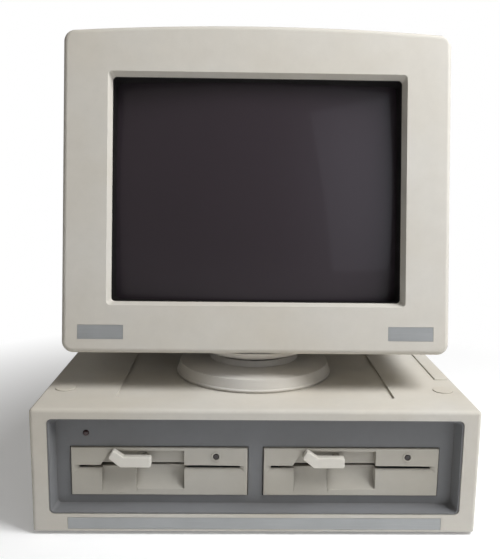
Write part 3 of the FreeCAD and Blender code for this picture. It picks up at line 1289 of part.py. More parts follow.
def make_bezel():
    half_width = d.bezel_width / 2
    high = bottom_z + d.bezel_height
    outer = block("bezel_block", (-half_width, face_y - 2.0, bottom_z), (half_width, seam_y, high))
    crown_radius = (half_width * half_width + d.bezel_crown * d.bezel_crown) / (2 * d.bezel_crown)
    crown = rod("bezel_crown_rod", crown_radius, d.bezel_depth + 60.0, (0.0, face_y - 30.0, high - crown_radius), "y")
    crowned = overlap("bezel_crowned", outer, crown)
    corners = rounded("bezel_corners", crowned, d.bezel_radius, ALONG_Y)
    front_trim = face_block("bezel_front_trim", (-half_width - 20.0, -60.0, -40.0),
                            (half_width + 20.0, 0.0, d.bezel_height + 60.0))
    trimmed = cut("bezel_trimmed", corners, front_trim)
    lean = number(d.face_lean)

    def on_face(edge):
        """True for edges that lie in the leaning face plane."""
        for vertex in edge.Vertexes:
            depth = (vertex.Y - number(face_y)) * math.cos(math.radians(lean)) \
                - (vertex.Z - number(bottom_z)) * math.sin(math.radians(lean))
            if abs(depth) > 0.02:
                return False
        return True
    soft = rounded("bezel_soft", trimmed, d.bezel_front_radius, on_face)
    wall = d.bezel_wall
    room = rounded("bezel_room_rounded",
                   block("bezel_room", (-half_width + wall, face_y - 5.0, bottom_z + wall),
                         (half_width - wall, seam_y + 1.0, high - d.bezel_crown - wall)),
                   d.bezel_radius - wall, ALONG_Y)
    room_trim = face_block("bezel_room_trim", (-half_width - 20.0, -60.0, -40.0),
                           (half_width + 20.0, d.bezel_front_wall, d.bezel_height + 60.0))
    low_z = d.screen_bottom
    high_z = d.screen_bottom + d.screen_height
    half_screen = d.screen_width / 2
    rim = d.screen_collar
    collar = face_block("bezel_collar", (-half_screen - rim, -1.0, low_z - rim),
                        (half_screen + rim, d.screen_lip_depth, high_z + rim))
    cavity = cut("bezel_cavity", room, room_trim, collar)
    hollow = cut("bezel_hollow", soft, cavity)
    lip = d.screen_lip
    mouth = leaning(wrapped("bezel_mouth", rounded(
        "bezel_mouth_rounded",
        taper("bezel_mouth_taper", face_y - 0.01, face_y + d.screen_lip_depth + 0.01,
              (-half_screen, bottom_z + low_z), (half_screen, bottom_z + high_z),
              (-half_screen + lip, bottom_z + low_z + lip), (half_screen - lip, bottom_z + high_z - lip)),
        4.0, MOSTLY_Y)))
    posts = []
    bores = []
    for index, (x, z) in enumerate(ear_places()):
        start = d.bezel_front_wall - 0.5
        posts.append(leaning(wrapped("bezel_post_%d" % index,
                                     rod("bezel_post_rod_%d" % index, 6.0, ear_depth() - start,
                                         (x, face_y + start, bottom_z + z), "y"))))
        bores.append(leaning(wrapped("bezel_bore_%d" % index,
                                     rod("bezel_bore_rod_%d" % index, d.ear_screw_radius + d.press_gap, 12.0,
                                         (x, face_y + ear_depth() - 11.0, bottom_z + z), "y"))))
    plates = [face_block("plate_sink_%d" % index,
                         (sign * d.plate_side - d.plate_width / 2, -1.0, d.plate_bottom),
                         (sign * d.plate_side + d.plate_width / 2, d.plate_thickness, d.plate_bottom + d.plate_height))
              for index, sign in enumerate((-1, 1))]
    body = join("bezel_body", hollow, *posts)
    tilted(node("monitor_bezel", cut("bezel_finished", body, mouth, *(plates + bores))))
    name_plates = [block("name_plate_%d" % index,
                         (sign * d.plate_side - d.plate_width / 2 + 0.15, face_y + 0.1,
                          bottom_z + d.plate_bottom + 0.15),
                         (sign * d.plate_side + d.plate_width / 2 - 0.15, face_y + d.plate_thickness,
                          bottom_z + d.plate_bottom + d.plate_height - 0.15))
                   for index, sign in enumerate((-1, 1))]
    tilted(node("name_plates", *name_plates), d.face_lean)


def ear_depth():
    return d.tube_front + 24.0


def ear_places():
    x = d.tube_width / 2 + 1.0
    z = d.tube_height / 2 + 1.0
    return [(sx * x, tube_middle + sz * z) for sx in (-1, 1) for sz in (-1, 1)]


def make_cabinet():
    inset = d.cabinet_inset
    near = seam_y + 0.1
    waist = face_y + d.cabinet_waist
    far = face_y + d.cabinet_depth
    half_near = d.bezel_width / 2 - inset
    half_waist = half_near - 3.0
    half_far = d.cabinet_rear_width / 2
    low = bottom_z
    top_near = bottom_z + d.bezel_height - d.bezel_crown - inset
    top_waist = top_near - 4.0
    first = taper("cabinet_first", near, waist, (-half_near, low), (half_near, top_near),
                  (-half_waist, low), (half_waist, top_waist))
    step = d.cabinet_step
    second = taper("cabinet_second", waist, far, (-half_waist + step, low + step), (half_waist - step, top_waist - step),
                   (-half_far, bottom_z + d.cabinet_rear_bottom), (half_far, bottom_z + d.cabinet_rear_top))
    first_soft = rounded("cabinet_first_soft", first, d.cabinet_radius, MOSTLY_Y)
    second_soft = rounded("cabinet_second_soft", second, d.cabinet_radius,
                          lambda edge: MOSTLY_Y(edge) or edge.BoundBox.YMin > number(far) - 0.01)
    wall = d.cabinet_wall
    first_room = taper("cabinet_first_room", near - 1.0, waist, (-half_near + wall, low + wall),
                       (half_near - wall, top_near - wall), (-half_waist + wall, low + wall),
                       (half_waist - wall, top_waist - wall))
    inset = wall + step
    second_room = taper("cabinet_second_room", waist - 1.0, far - wall, (-half_waist + inset, low + inset),
                        (half_waist - inset, top_waist - inset),
                        (-half_far + wall, bottom_z + d.cabinet_rear_bottom + wall),
                        (half_far - wall, bottom_z + d.cabinet_rear_top - wall))
    solid = join("cabinet_solid", first_soft, second_soft)
    room = join("cabinet_room", rounded("cabinet_first_inside", first_room, d.cabinet_radius - wall, MOSTLY_Y),
                rounded("cabinet_second_inside", second_room, d.cabinet_radius - wall, MOSTLY_Y))
    body = cut("cabinet_shell", solid, room)
    ledges = []
    for index, sign in enumerate((-1, 1)):
        x = sign * (d.chassis_width / 2 - 8.0)
        ledges.append(block("cabinet_ledge_%d" % index, (x - 4.0, face_y + d.chassis_front + 4.0, low + wall / 2),
                            (x + 4.0, face_y + d.chassis_front + 30.0, bottom_z + d.chassis_lift - d.press_gap)))
    control_y = face_y + d.control_back
    control_z = bottom_z + d.control_height
    for index in range(2):
        y = control_y + index * d.control_pitch
        ledges.append(block("control_bracket_%d" % index,
                            (control_x(index) - 6.0, y - 6.0, control_z + d.control_thickness / 2 + 0.7),
                            (half_waist - 1.0, y + 6.0, control_z + d.control_thickness / 2 + 6.7)))
    body = join("cabinet_body", body, *ledges)
    tools = [rod("cabinet_foot_hole", d.cabinet_hole, 20.0, (0.0, pivot_y, low - 10.0))]
    count = int(number(d.roof_vent_count))
    for row, start in enumerate((waist + 14.0, waist + 24.0 + d.roof_vent_length)):
        for index in range(count):
            x = (index - (count - 1) / 2) * d.roof_vent_pitch * (1.0 if row == 0 else 0.86)
            tools.append(block("roof_vent_%d_%d" % (row, index), (x - d.vent_width / 2, start, bottom_z + 180.0),
                               (x + d.vent_width / 2, start + d.roof_vent_length, top_near + 10.0)))
    for index in range(13):
        x = (index - 6) * d.roof_vent_pitch
        tools.append(block("rear_slot_%d" % index, (x - d.vent_width / 2, far - wall - 1.0, bottom_z + 150.0),
                           (x + d.vent_width / 2, far + 1.0, bottom_z + 150.0 + d.roof_vent_length)))
    for index in range(2):
        y = control_y + index * d.control_pitch
        chord = d.control_radius * 0.8
        tools.append(block("control_slot_%d" % index,
                           (half_waist - 6.0, y - chord, control_z - d.control_thickness / 2 - 0.6),
                           (half_near + 2.0, y + chord, control_z + d.control_thickness / 2 + 0.6)))
        tools.append(rod("control_bore_%d" % index, d.control_pin + d.bore_clearance, 12.0,
                         (control_x(index), y, control_z)))
    tools.append(block("rocker_way", (d.rocker_side - d.rocker_width / 2 - 2.0, far - wall - 1.0,
                                      bottom_z + d.rocker_rise - d.rocker_height / 2 - 2.0),
                       (d.rocker_side + d.rocker_width / 2 + 2.0, far + 1.0,
                        bottom_z + d.rocker_rise + d.rocker_height / 2 + 2.0)))
    tools.append(rod("gland_way", d.gland_radius + d.press_gap, 10.0,
                     (d.gland_side, far - wall - 2.0, bottom_z + d.gland_rise), "y"))
    screw_ways = []
    screws = []
    for index, (x, z) in enumerate(case_screw_places()):
        boss = rod("case_screw_boss_%d" % index, 6.0, d.case_screw_length + 4.0,
                   (x, far - wall - d.case_screw_length - 2.0, z), "y")
        screw_ways.append(boss)
        tools.append(rod("case_screw_way_%d" % index, d.case_screw_radius + d.press_gap, 60.0, (x, far - 50.0, z), "y"))
        tools.append(rod("case_screw_sink_%d" % index, d.case_screw_head + 0.8, 6.0, (x, far - 3.5, z), "y"))
        head = rod("case_screw_head_%d" % index, d.case_screw_head, 2.4, (x, far - 3.4, z), "y")
        shank = rod("case_screw_shank_%d" % index, d.case_screw_radius, d.case_screw_length,
                    (x, far - 3.0 - d.case_screw_length, z), "y")
        cross = block("case_screw_cross_%d" % index, (x - 2.6, far - 2.0, z - 0.5), (x + 2.6, far, z + 0.5))
        screws.append(cut("case_screw_%d" % index, join("case_screw_solid_%d" % index, head, shank), cross))
    full = join("cabinet_full", body, *screw_ways)
    tilted(node("monitor_cabinet", cut("cabinet_finished", full, *tools)))
    tilted(node("cabinet_screws", *screws))


def control_x(index):
    """The middle of a thumb wheel whose rim is level with the side of the cabinet."""
    slope = (d.control_back + index * d.control_pitch - d.bezel_depth) / (d.cabinet_waist - d.bezel_depth)
    return d.bezel_width / 2 - d.cabinet_inset - 3.0 * slope - d.fit_gap - d.control_radius


def case_screw_places():
    x = d.cabinet_rear_width / 2 - 20.0
    return [(sign * x, bottom_z + rise) for sign in (-1, 1) for rise in (d.cabinet_rear_bottom + 20.0,
                                                                      d.cabinet_rear_top - 20.0)]


def make_tube():
    half_width = d.tube_width / 2
    half_height = d.tube_height / 2
    middle = bottom_z + tube_middle
    near = face_y + d.tube_front
    skirt_end = near + d.tube_skirt
    funnel_end = skirt_end + d.funnel_length
    skirt = block("tube_skirt_block", (-half_width, near - 2.0, middle - half_height), (half_width, skirt_end,
                                                                               middle + half_height))
    bulge = ball("tube_bulge_ball", d.tube_bulge, (0.0, near + d.tube_bulge, middle))
    panel = overlap("tube_panel", rounded("tube_skirt_rounded", skirt, 22.0, ALONG_Y), bulge)
    funnel = rounded("tube_funnel_rounded",
                     taper("tube_funnel", skirt_end - 4.0, funnel_end, (-half_width + 3.0, middle - half_height + 3.0),
                           (half_width - 3.0, middle + half_height - 3.0),
                           (-d.funnel_end / 2, middle - d.funnel_end / 2), (d.funnel_end / 2,
                                                                            middle + d.funnel_end / 2)),
                     20.0, MOSTLY_Y)
    throat = cone("tube_throat", d.funnel_end / 2 - 1.0, d.neck_radius - 1.0, d.throat_length + 2.0,
                  (0.0, funnel_end - 2.0, middle),
                  "y")
    neck = rod("tube_neck", d.neck_radius, neck_length + d.throat_length, (0.0, funnel_end, middle), "y")
    base = rod("tube_base", d.neck_radius - 1.5, 12.0,
               (0.0, funnel_end + d.throat_length - 6.0 + neck_length, middle), "y")
    solid = join("tube_solid", panel, funnel, throat, neck, base)
    glass = d.tube_glass
    inner_panel = overlap("tube_inner_panel",
                          block("tube_inner_block", (-half_width + glass, near, middle - half_height + glass),
                                (half_width - glass, skirt_end + 0.5, middle + half_height - glass)),
                          ball("tube_inner_ball", d.tube_bulge, (0.0, near + glass * 2 + d.tube_bulge, middle)))
    inner_funnel = taper("tube_inner_funnel", skirt_end, funnel_end - 8.0,
                         (-half_width + glass * 2, middle - half_height + glass * 2),
                         (half_width - glass * 2, middle + half_height - glass * 2),
                         (-d.funnel_end / 2 + glass, middle - d.funnel_end / 2 + glass),
                         (d.funnel_end / 2 - glass, middle + d.funnel_end / 2 - glass))
    inner_neck = rod("tube_inner_neck", d.neck_radius - 2.0, neck_length + d.throat_length + 8.0, (0.0, funnel_end - 12.0, middle),
                     "y")
    tilted(node("picture_tube", cut("tube_finished", solid, join("tube_room", inner_panel, inner_funnel,
                                                               inner_neck))), d.face_lean)
    band_near = face_y + ear_depth()
    gap = d.fit_gap
    band = rounded("band_outer", block("band_outer_block",
                                       (-half_width - d.band_thickness - gap, band_near,
                                        middle - half_height - d.band_thickness - gap),
                                       (half_width + d.band_thickness + gap, band_near + d.band_height,
                                        middle + half_height + d.band_thickness + gap)), 24.0, ALONG_Y)
    inner = rounded("band_inner", block("band_inner_block", (-half_width - gap, band_near - 1.0,
                                                             middle - half_height - gap),
                                        (half_width + gap, band_near + d.band_height + 1.0,
                                         middle + half_height + gap)), 22.0, ALONG_Y)
    ears = []
    ways = []
    screws = []
    for index, (x, z) in enumerate(ear_places()):
        ears.append(block("ear_%d" % index, (x - d.ear_size / 2, band_near + d.press_gap, bottom_z + z - d.ear_size / 2),
                          (x + d.ear_size / 2, band_near + 2.0, bottom_z + z + d.ear_size / 2)))
        ways.append(rod("ear_way_%d" % index, d.ear_screw_radius + d.fit_gap, 6.0,
                        (x, band_near - 2.0, bottom_z + z), "y"))
        head = rod("tube_screw_head_%d" % index, 5.0, 3.5, (x, band_near + 2.0 + d.press_gap, bottom_z + z), "y")
        shank = rod("tube_screw_shank_%d" % index, d.ear_screw_radius, 14.0,
                    (x, band_near - 8.0, bottom_z + z), "y")
        screws.append(join("tube_screw_%d" % index, head, shank))
    ring = cut("band_ring", join("band_with_ears", band, *ears), inner, *ways)
    tilted(node("tube_band", ring), d.face_lean)
    tilted(node("tube_screws", *screws), d.face_lean)
    yoke_start = funnel_end + d.throat_length + 1.0
    coil = join("yoke_solid",
                rod("yoke_front", d.yoke_radius, 5.0, (0.0, yoke_start, middle), "y"),
                cone("yoke_core", d.yoke_radius - 5.0, d.yoke_radius * 0.62, d.yoke_length - 9.0,
                     (0.0, yoke_start + 5.0 - 0.01, middle), "y"),
                rod("yoke_back", d.yoke_radius * 0.72, 4.5, (0.0, yoke_start + d.yoke_length - 4.5, middle), "y"))
    bore = rod("yoke_bore", d.neck_radius + d.fit_gap, d.yoke_length + 10.0, (0.0, yoke_start - 2.0, middle), "y")
    tilted(node("deflection_yoke", cut("yoke_body", coil, bore)), d.face_lean)
    card_y = funnel_end + d.throat_length + neck_length - 8.0
    size = d.neck_board_size / 2
    card = block("neck_card", (-size, card_y, middle - size), (size, card_y + d.board_plate, middle + size))
    holder = rod("neck_holder", d.neck_radius + 4.0, 8.0, (0.0, card_y + d.board_plate, middle), "y")
    way = rod("neck_card_way", d.neck_radius + d.fit_gap, 20.0, (0.0, card_y - 5.0, middle), "y")
    tilted(node("neck_board", cut("neck_board_body", join("neck_board_solid", card, holder), way)), d.face_lean)


def make_monitor_insides():
    reach = d.chassis_width / 2
    near = face_y + d.chassis_front
    low = bottom_z + d.chassis_lift
    plate_top = low + d.board_plate
    plate = block("chassis_plate", (-reach, near, low), (reach, near + chassis_length, plate_top))
    parts = [plate]
    for index in range(6):
        x = reach - 14.0 - 11.0 * index
        parts.append(rod("capacitor_%d" % index, 4.5, 18.0, (x, near + chassis_length - 12.0, plate_top)))
    tilted(node("monitor_board", *parts))
    fly_x = -reach + d.flyback_radius + 6.0
    fly_y = near + chassis_length - d.flyback_radius - 8.0
    core = rod("flyback_coil", d.flyback_radius, d.flyback_height, (fly_x, fly_y, plate_top))
    cap = rod("flyback_cap", d.flyback_radius * 0.6, 6.0, (fly_x, fly_y, plate_top + d.flyback_height - 0.5))
    leg = block("flyback_core", (fly_x - 6.0, fly_y - d.flyback_radius - 5.0, plate_top),
                (fly_x + 6.0, fly_y - 2.0, plate_top + d.flyback_height * 0.8))
    tilted(node("flyback_transformer", join("flyback_body", core, cap, leg)))
    size = d.transformer_size
    tx = reach - size - 4.0
    ty = near + chassis_length - size - 26.0
    stack = block("transformer_core", (tx, ty + 10.0, plate_top), (tx + size, ty + size - 10.0, plate_top + size * 0.8))
    coil = block("transformer_coil", (tx + 8.0, ty, plate_top + 8.0), (tx + size - 8.0, ty + size,
                                                                     plate_top + size * 0.8 - 8.0))
    tilted(node("power_transformer", join("transformer_body", stack, coil)))
    for index, name in enumerate(("brightness", "contrast")):
        x = control_x(index)
        y = face_y + d.control_back + index * d.control_pitch
        z = bottom_z + d.control_height
        disc = rod(name + "_disc", d.control_radius, d.control_thickness, (x, y, z - d.control_thickness / 2))
        pin = rod(name + "_pin", d.control_pin, 10.0, (x, y, z))
        grooves = []
        for step in range(20):
            angle = math.radians(18.0 * step)
            grooves.append(rod("%s_groove_%d" % (name, step), 0.55, d.control_thickness + 2.0,
                               (x + (d.control_radius + 0.1) * math.cos(angle),
                                y + (d.control_radius + 0.1) * math.sin(angle),
                                z - d.control_thickness / 2 - 1.0)))
        tilted(node(name + "_wheel", cut(name + "_wheel_body", join(name + "_solid", disc, pin), *grooves)))
    far = face_y + d.cabinet_depth
    rx = d.rocker_side
    rz = bottom_z + d.rocker_rise
    reach_x = d.rocker_width / 2
    reach_z = d.rocker_height / 2
    housing = cut("rocker_housing_body",
                  block("rocker_housing_block", (rx - reach_x - 1.9, far - d.cabinet_wall - 14.0, rz - reach_z - 1.9),
                        (rx + reach_x + 1.9, far - 0.4, rz + reach_z + 1.9)),
                  block("rocker_housing_room", (rx - reach_x - 0.3, far - d.cabinet_wall - 9.0, rz - reach_z - 1.0),
                        (rx + reach_x + 0.3, far + 1.0, rz + reach_z + 1.0)),
                  rod("rocker_pin_bore", d.rocker_pin + d.press_gap, d.rocker_width + 3.0,
                      (rx - reach_x - 1.5, far - d.cabinet_wall - 2.0, rz), "x"))
    gland = join("gland_body",
                 rod("gland_barrel", d.gland_radius, d.cabinet_wall + 4.0,
                     (d.gland_side, far - d.cabinet_wall - 2.0, bottom_z + d.gland_rise), "y"),
                 rod("gland_ring", d.gland_radius + 3.0, 2.0, (d.gland_side, far + 0.1, bottom_z + d.gland_rise), "y"),
                 rod("gland_nut", d.gland_radius + 2.5, 3.0,
                     (d.gland_side, far - d.cabinet_wall - 3.2, bottom_z + d.gland_rise), "y"))
    gland_bore = rod("gland_bore", 3.4, 20.0, (d.gland_side, far - 10.0, bottom_z + d.gland_rise), "y")
    tilted(node("cable_gland", cut("cable_gland_body", gland, gland_bore)))
    tilted(node("rocker_housing", housing))
    pivot_depth = far - d.cabinet_wall - 2.0
    dip = 1.6
    points = [(pivot_depth - 3.0, rz - 3.0), (far + dip, rz - reach_z + 0.8), (far - 0.6, rz),
              (far - 0.4 - dip, rz + reach_z - 0.8), (pivot_depth - 3.0, rz + 3.0)]
    rocker = padded_side("rocker_block", points, rx - reach_x + 0.2, rx + reach_x - 0.2)
    pin = rod("rocker_pin_rod", d.rocker_pin, d.rocker_width + 2.4, (rx - reach_x - 1.2, pivot_depth, rz), "x")
    tilted(node("power_rocker", join("power_rocker_body", rocker, pin)))


make_top_cover()
make_base_tray()
make_cover_details()
make_fascia()
make_rear_panel()
make_battery_bay()
make_main_board()
for drive_side, drive_x in (("left", -drive_offset), ("right", drive_offset)):
    make_drive_bezel(drive_side, drive_x)
    make_lever(drive_side, drive_x)
    make_drive_mechanism(drive_side, drive_x)
node("drive_lamps", *drive_lamps)
node("drive_boards", *drive_boards)
make_foot()
make_bezel()
make_cabinet()
make_tube()
make_monitor_insides()
doc.recompute()

# Every object has to be sound before anything is written

for thing in doc.Objects:
    states = set(thing.State) & {"Invalid", "Error"}
    if states:
        raise RuntimeError("%s failed: %s" % (thing.Name, ", ".join(sorted(states))))
for group in nodes:
    shape = group.Shape
    if shape.isNull() or not shape.isValid() or not shape.Solids:
        raise RuntimeError("%s has no sound shape" % group.Label)

os.makedirs("parts", exist_ok=True)
for group in nodes:
    group.Shape.exportStep("parts/%s.step" % group.Label)
    print(group.Label, len(group.Shape.Solids), round(group.Shape.Volume / 1000.0, 1))
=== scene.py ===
"""Looks for a vintage home computer: a system unit with two disk drives and a picture-tube monitor."""

import json
import math

import bmesh
import bpy
from bpy.props import FloatProperty, FloatVectorProperty, IntProperty, PointerProperty
from mathutils import Matrix, Vector


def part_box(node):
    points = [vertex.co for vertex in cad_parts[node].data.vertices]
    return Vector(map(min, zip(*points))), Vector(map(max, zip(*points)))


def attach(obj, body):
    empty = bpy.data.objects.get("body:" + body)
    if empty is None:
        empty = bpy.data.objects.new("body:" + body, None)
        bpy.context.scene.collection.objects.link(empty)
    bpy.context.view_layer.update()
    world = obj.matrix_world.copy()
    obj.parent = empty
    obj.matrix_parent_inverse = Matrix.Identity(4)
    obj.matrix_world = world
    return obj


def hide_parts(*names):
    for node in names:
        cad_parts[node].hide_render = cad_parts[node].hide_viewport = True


bl_info = {
    "name": "Vintage home computer",
    "version": (1, 0, 0),
    "blender": (4, 5, 0),
    "location": "View3D > Sidebar > Computer",
    "description": "Dresses the packed model of a vintage home computer",
    "category": "Object",
}

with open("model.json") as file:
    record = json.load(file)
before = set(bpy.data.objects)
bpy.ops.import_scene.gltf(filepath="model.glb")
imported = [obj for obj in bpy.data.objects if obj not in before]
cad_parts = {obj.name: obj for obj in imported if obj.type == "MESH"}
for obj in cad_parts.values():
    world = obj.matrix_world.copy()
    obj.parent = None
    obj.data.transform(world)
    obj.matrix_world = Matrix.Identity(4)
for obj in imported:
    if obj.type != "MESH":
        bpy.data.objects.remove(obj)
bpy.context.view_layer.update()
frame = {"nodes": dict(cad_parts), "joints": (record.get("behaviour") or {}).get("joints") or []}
NODES = frame["nodes"]
MM = 0.001


# Sizes that the frame gives


def joint(name):
    return next(entry for entry in frame["joints"] if entry["name"] == name)


def low(node):
    return Vector(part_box(node)[0])


def high(node):
    return Vector(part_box(node)[1])


BALL_CENTRE = Vector(joint("tilt_lean")["pos_m"])
REST_TILT = math.radians(4.2)
FACE_LEAN = math.radians(5.0)
FACE_AHEAD = 0.0657
BALL_ABOVE_BOTTOM = 0.1296
BALL_RADIUS = 0.145

# The monitor is modelled upright, then leaned back about the middle of its ball foot
UPRIGHT = (Matrix.Translation(BALL_CENTRE) @ Matrix.Rotation(-REST_TILT, 4, "X")
           @ Matrix.Translation(-BALL_CENTRE))
FACE_FOOT = Vector((0.0, BALL_CENTRE.y - FACE_AHEAD, BALL_CENTRE.z - BALL_ABOVE_BOTTOM))
# In this frame x runs across the face, y goes in behind it and z goes up it, from its bottom edge
FACE = UPRIGHT @ Matrix.Translation(FACE_FOOT) @ Matrix.Rotation(-FACE_LEAN, 4, "X")


def linear(red, green, blue):
    """A colour written as 0 to 255 levels on a screen, as the linear levels that shaders use."""
    levels = []
    for level in (red, green, blue):
        share = level / 255.0
        levels.append(share / 12.92 if share <= 0.04045 else ((share + 0.055) / 1.055) ** 2.4)
    return tuple(levels)


def opaque(colour):
    """A colour with full alpha, as shader sockets take it."""
    return tuple(colour) + (1.0,)


WHITE = opaque((1.0, 1.0, 1.0))


# Choices that a user would change


def colour_choice(name, description, levels):
    return FloatVectorProperty(name=name, description=description, subtype="COLOR", size=3, min=0.0, max=1.0,
                               default=linear(*levels))


class CasingChoices(bpy.types.PropertyGroup):
    """Colours of the moulded and painted outside."""

    casing: colour_choice("Casing", "Colour of the beige casing", (206, 202, 194))
    aged: colour_choice("Aged casing", "Colour that the casing yellows towards", (198, 190, 175))
    # Painted light: the foot's colour is lighter than the casing's, to make up for the monitor's shadow over
    # it
    disc: colour_choice("Monitor foot", "Colour of the round foot and its ball", (214, 211, 206))
    fascia: colour_choice("Fascia", "Colour of the grey front panel", (122, 123, 125))
    drive: colour_choice("Drive fronts", "Colour of the disk drive fronts", (184, 180, 171))
    lever: colour_choice("Drive levers", "Colour of the disk drive levers", (224, 220, 211))
    label: colour_choice("Bare labels", "Colour of the brushed label plates", (172, 174, 175))
    grain: FloatProperty(name="Grain", description="Height of the moulded grain", default=0.00006,
                         min=0.0, max=0.001, unit="LENGTH")
    edge: FloatProperty(name="Edge radius", description="Rounding of the moulded edges", default=0.0005,
                        min=0.0, max=0.002, unit="LENGTH")


class ScreenChoices(bpy.types.PropertyGroup):
    """The picture tube."""

    phosphor: colour_choice("Phosphor", "Colour of the dark screen", (48, 41, 46))
    bulge: FloatProperty(name="Bulge radius", description="Radius of the glass face", default=0.9,
                         min=0.3, max=3.0, unit="LENGTH")
    gloss: FloatProperty(name="Roughness", description="Roughness of the screen glass", default=0.3,
                         min=0.0, max=1.0, subtype="FACTOR")


class StudioChoices(bpy.types.PropertyGroup):
    """Floor, lamps and camera."""

    key: FloatProperty(name="Key lamp", description="Power of the main lamp", default=19.0, min=0.0)
    fill: FloatProperty(name="Fill lamp", description="Power of the lamp on the left", default=1.0, min=0.0)
    window: FloatProperty(name="Window", description="Power of the dim lamp that the screen reflects",
                          default=4.5, min=0.0)
    ambient: FloatProperty(name="Ambient", description="Strength of the even light", default=0.16, min=0.0)
    floor: colour_choice("Floor", "Colour of the floor", (243, 243, 243))
    glow: FloatProperty(name="Floor glow", description="Light that the floor shows to the camera alone",
                        default=0.2, min=0.0, max=1.0)
    lens: FloatProperty(name="Lens", description="Focal length of the camera", default=45.142, min=10.0,
                        subtype="DISTANCE_CAMERA")
    turns: IntProperty(name="Steps in a turn", description="Sides of a turned piece", default=96,
                       min=16, max=256)


# Shader node groups

# Dark brown that the plastics darken towards in corners and gaps: partly dirt, partly painted shade
CORNER_DIRT_AND_SHADE_COLOUR = linear(92, 84, 70)
CORNER_REACH = 6.0 * MM
SURFACE = (("Colour", "NodeSocketColor"), ("Roughness", "NodeSocketFloat"), ("Height", "NodeSocketFloat"))


def new_group(name, inputs, outputs):
    """An empty shader group with named inputs and outputs, as (name, kind, default)."""
    tree = bpy.data.node_groups.new(name, "ShaderNodeTree")
    for label, kind, default in inputs:
        made = tree.interface.new_socket(name=label, in_out="INPUT", socket_type=kind)
        made.default_value = default
    for label, kind in outputs:
        tree.interface.new_socket(name=label, in_out="OUTPUT", socket_type=kind)
    return tree, tree.nodes.new("NodeGroupInput"), tree.nodes.new("NodeGroupOutput")


def add(tree, kind, **settings):
    made = tree.nodes.new(kind)
    for key, value in settings.items():
        setattr(made, key, value)
    return made


def noise(tree, place, scale, detail=3.0, roughness=0.5):
    """A noise texture whose scale is a number or the socket that gives it."""
    made = add(tree, "ShaderNodeTexNoise")
    tree.links.new(place, made.inputs["Vector"])
    made.inputs["Detail"].default_value = detail
    made.inputs["Roughness"].default_value = roughness
    feed(tree, scale, made.inputs["Scale"])
    return made


def feed(tree, value, socket):
    if hasattr(value, "is_linked"):
        tree.links.new(value, socket)
    else:
        socket.default_value = value


def maths(tree, operation, first, second=0.0, clamp=False):
    made = add(tree, "ShaderNodeMath", operation=operation, use_clamp=clamp)
    feed(tree, first, made.inputs[0])
    feed(tree, second, made.inputs[1])
    return made.outputs[0]


def spread(tree, value, source, target=(0.0, 1.0)):
    """Maps one range of values to another, held at its ends."""
    made = add(tree, "ShaderNodeMapRange")
    feed(tree, value, made.inputs["Value"])
    for label, number in zip(("From Min", "From Max", "To Min", "To Max"), source + target):
        made.inputs[label].default_value = number
    return made.outputs["Result"]


def blend(tree, share, first, second, kind="MIX"):
    made = add(tree, "ShaderNodeMix", data_type="RGBA", blend_type=kind)
    feed(tree, share, made.inputs["Factor"])
    feed(tree, first, made.inputs["A"])
    feed(tree, second, made.inputs["B"])
    return made.outputs["Result"]


def shaded(tree, level, colour):
    """Multiplies a colour by a level, the same in each channel."""
    shade = add(tree, "ShaderNodeCombineColor")
    for channel in ("Red", "Green", "Blue"):
        tree.links.new(level, shade.inputs[channel])
    return blend(tree, 1.0, colour, shade.outputs["Color"], "MULTIPLY")


def make_aged_plastic_group():
    """Moulded plastic: patches of yellowing, faint handling marks, dirt and painted shade in corners and a
    fine grain.
    """
    tree, given, wanted = new_group(
        "Aged plastic",
        (("Colour", "NodeSocketColor", (0.6, 0.58, 0.54, 1.0)),
         ("Aged", "NodeSocketColor", (0.5, 0.45, 0.36, 1.0)),
         ("Ageing", "NodeSocketFloat", 0.5), ("Grime", "NodeSocketFloat", 0.3),
         ("Grain Scale", "NodeSocketFloat", 900.0), ("Base Roughness", "NodeSocketFloat", 0.5)), SURFACE)
    place = add(tree, "ShaderNodeTexCoord").outputs["Object"]
    patches = noise(tree, place, 9.0, detail=3.0, roughness=0.55).outputs["Fac"]
    share = maths(tree, "MULTIPLY", spread(tree, patches, (0.36, 0.66)), given.outputs["Ageing"])
    colour = blend(tree, share, given.outputs["Colour"], given.outputs["Aged"])
    marks = noise(tree, place, 70.0, detail=6.0, roughness=0.7).outputs["Fac"]
    tint = spread(tree, marks, (0.3, 0.75), (0.965, 1.02))
    colour = shaded(tree, tint, colour)
    # Painted shade: ambient occlusion darkens corners, creases and gaps between parts towards the dark brown,
    # broken up by a dirt noise
    corners = add(tree, "ShaderNodeAmbientOcclusion", samples=8)
    corners.inputs["Distance"].default_value = CORNER_REACH
    dirt_noise = noise(tree, place, 160.0, detail=4.0, roughness=0.6).outputs["Fac"]
    open_share = spread(tree, corners.outputs["AO"], (0.35, 0.95), (1.0, 0.0))
    dirt_and_shade_share = maths(tree, "MULTIPLY", open_share, spread(tree, dirt_noise, (0.25, 0.6), (0.35, 1.0)))
    dirt_and_shade_share = maths(tree, "MULTIPLY", dirt_and_shade_share, given.outputs["Grime"], clamp=True)
    colour = blend(tree, dirt_and_shade_share, colour, opaque(CORNER_DIRT_AND_SHADE_COLOUR))
    tree.links.new(colour, wanted.inputs["Colour"])
    smears = noise(tree, place, 24.0, detail=5.0, roughness=0.65).outputs["Fac"]
    change = spread(tree, smears, (0.3, 0.7), (-0.07, 0.07))
    tree.links.new(maths(tree, "ADD", change, given.outputs["Base Roughness"], clamp=True),
                   wanted.inputs["Roughness"])
    grain = noise(tree, place, given.outputs["Grain Scale"], detail=2.0, roughness=0.5).outputs["Fac"]
    tree.links.new(grain, wanted.inputs["Height"])
    return tree


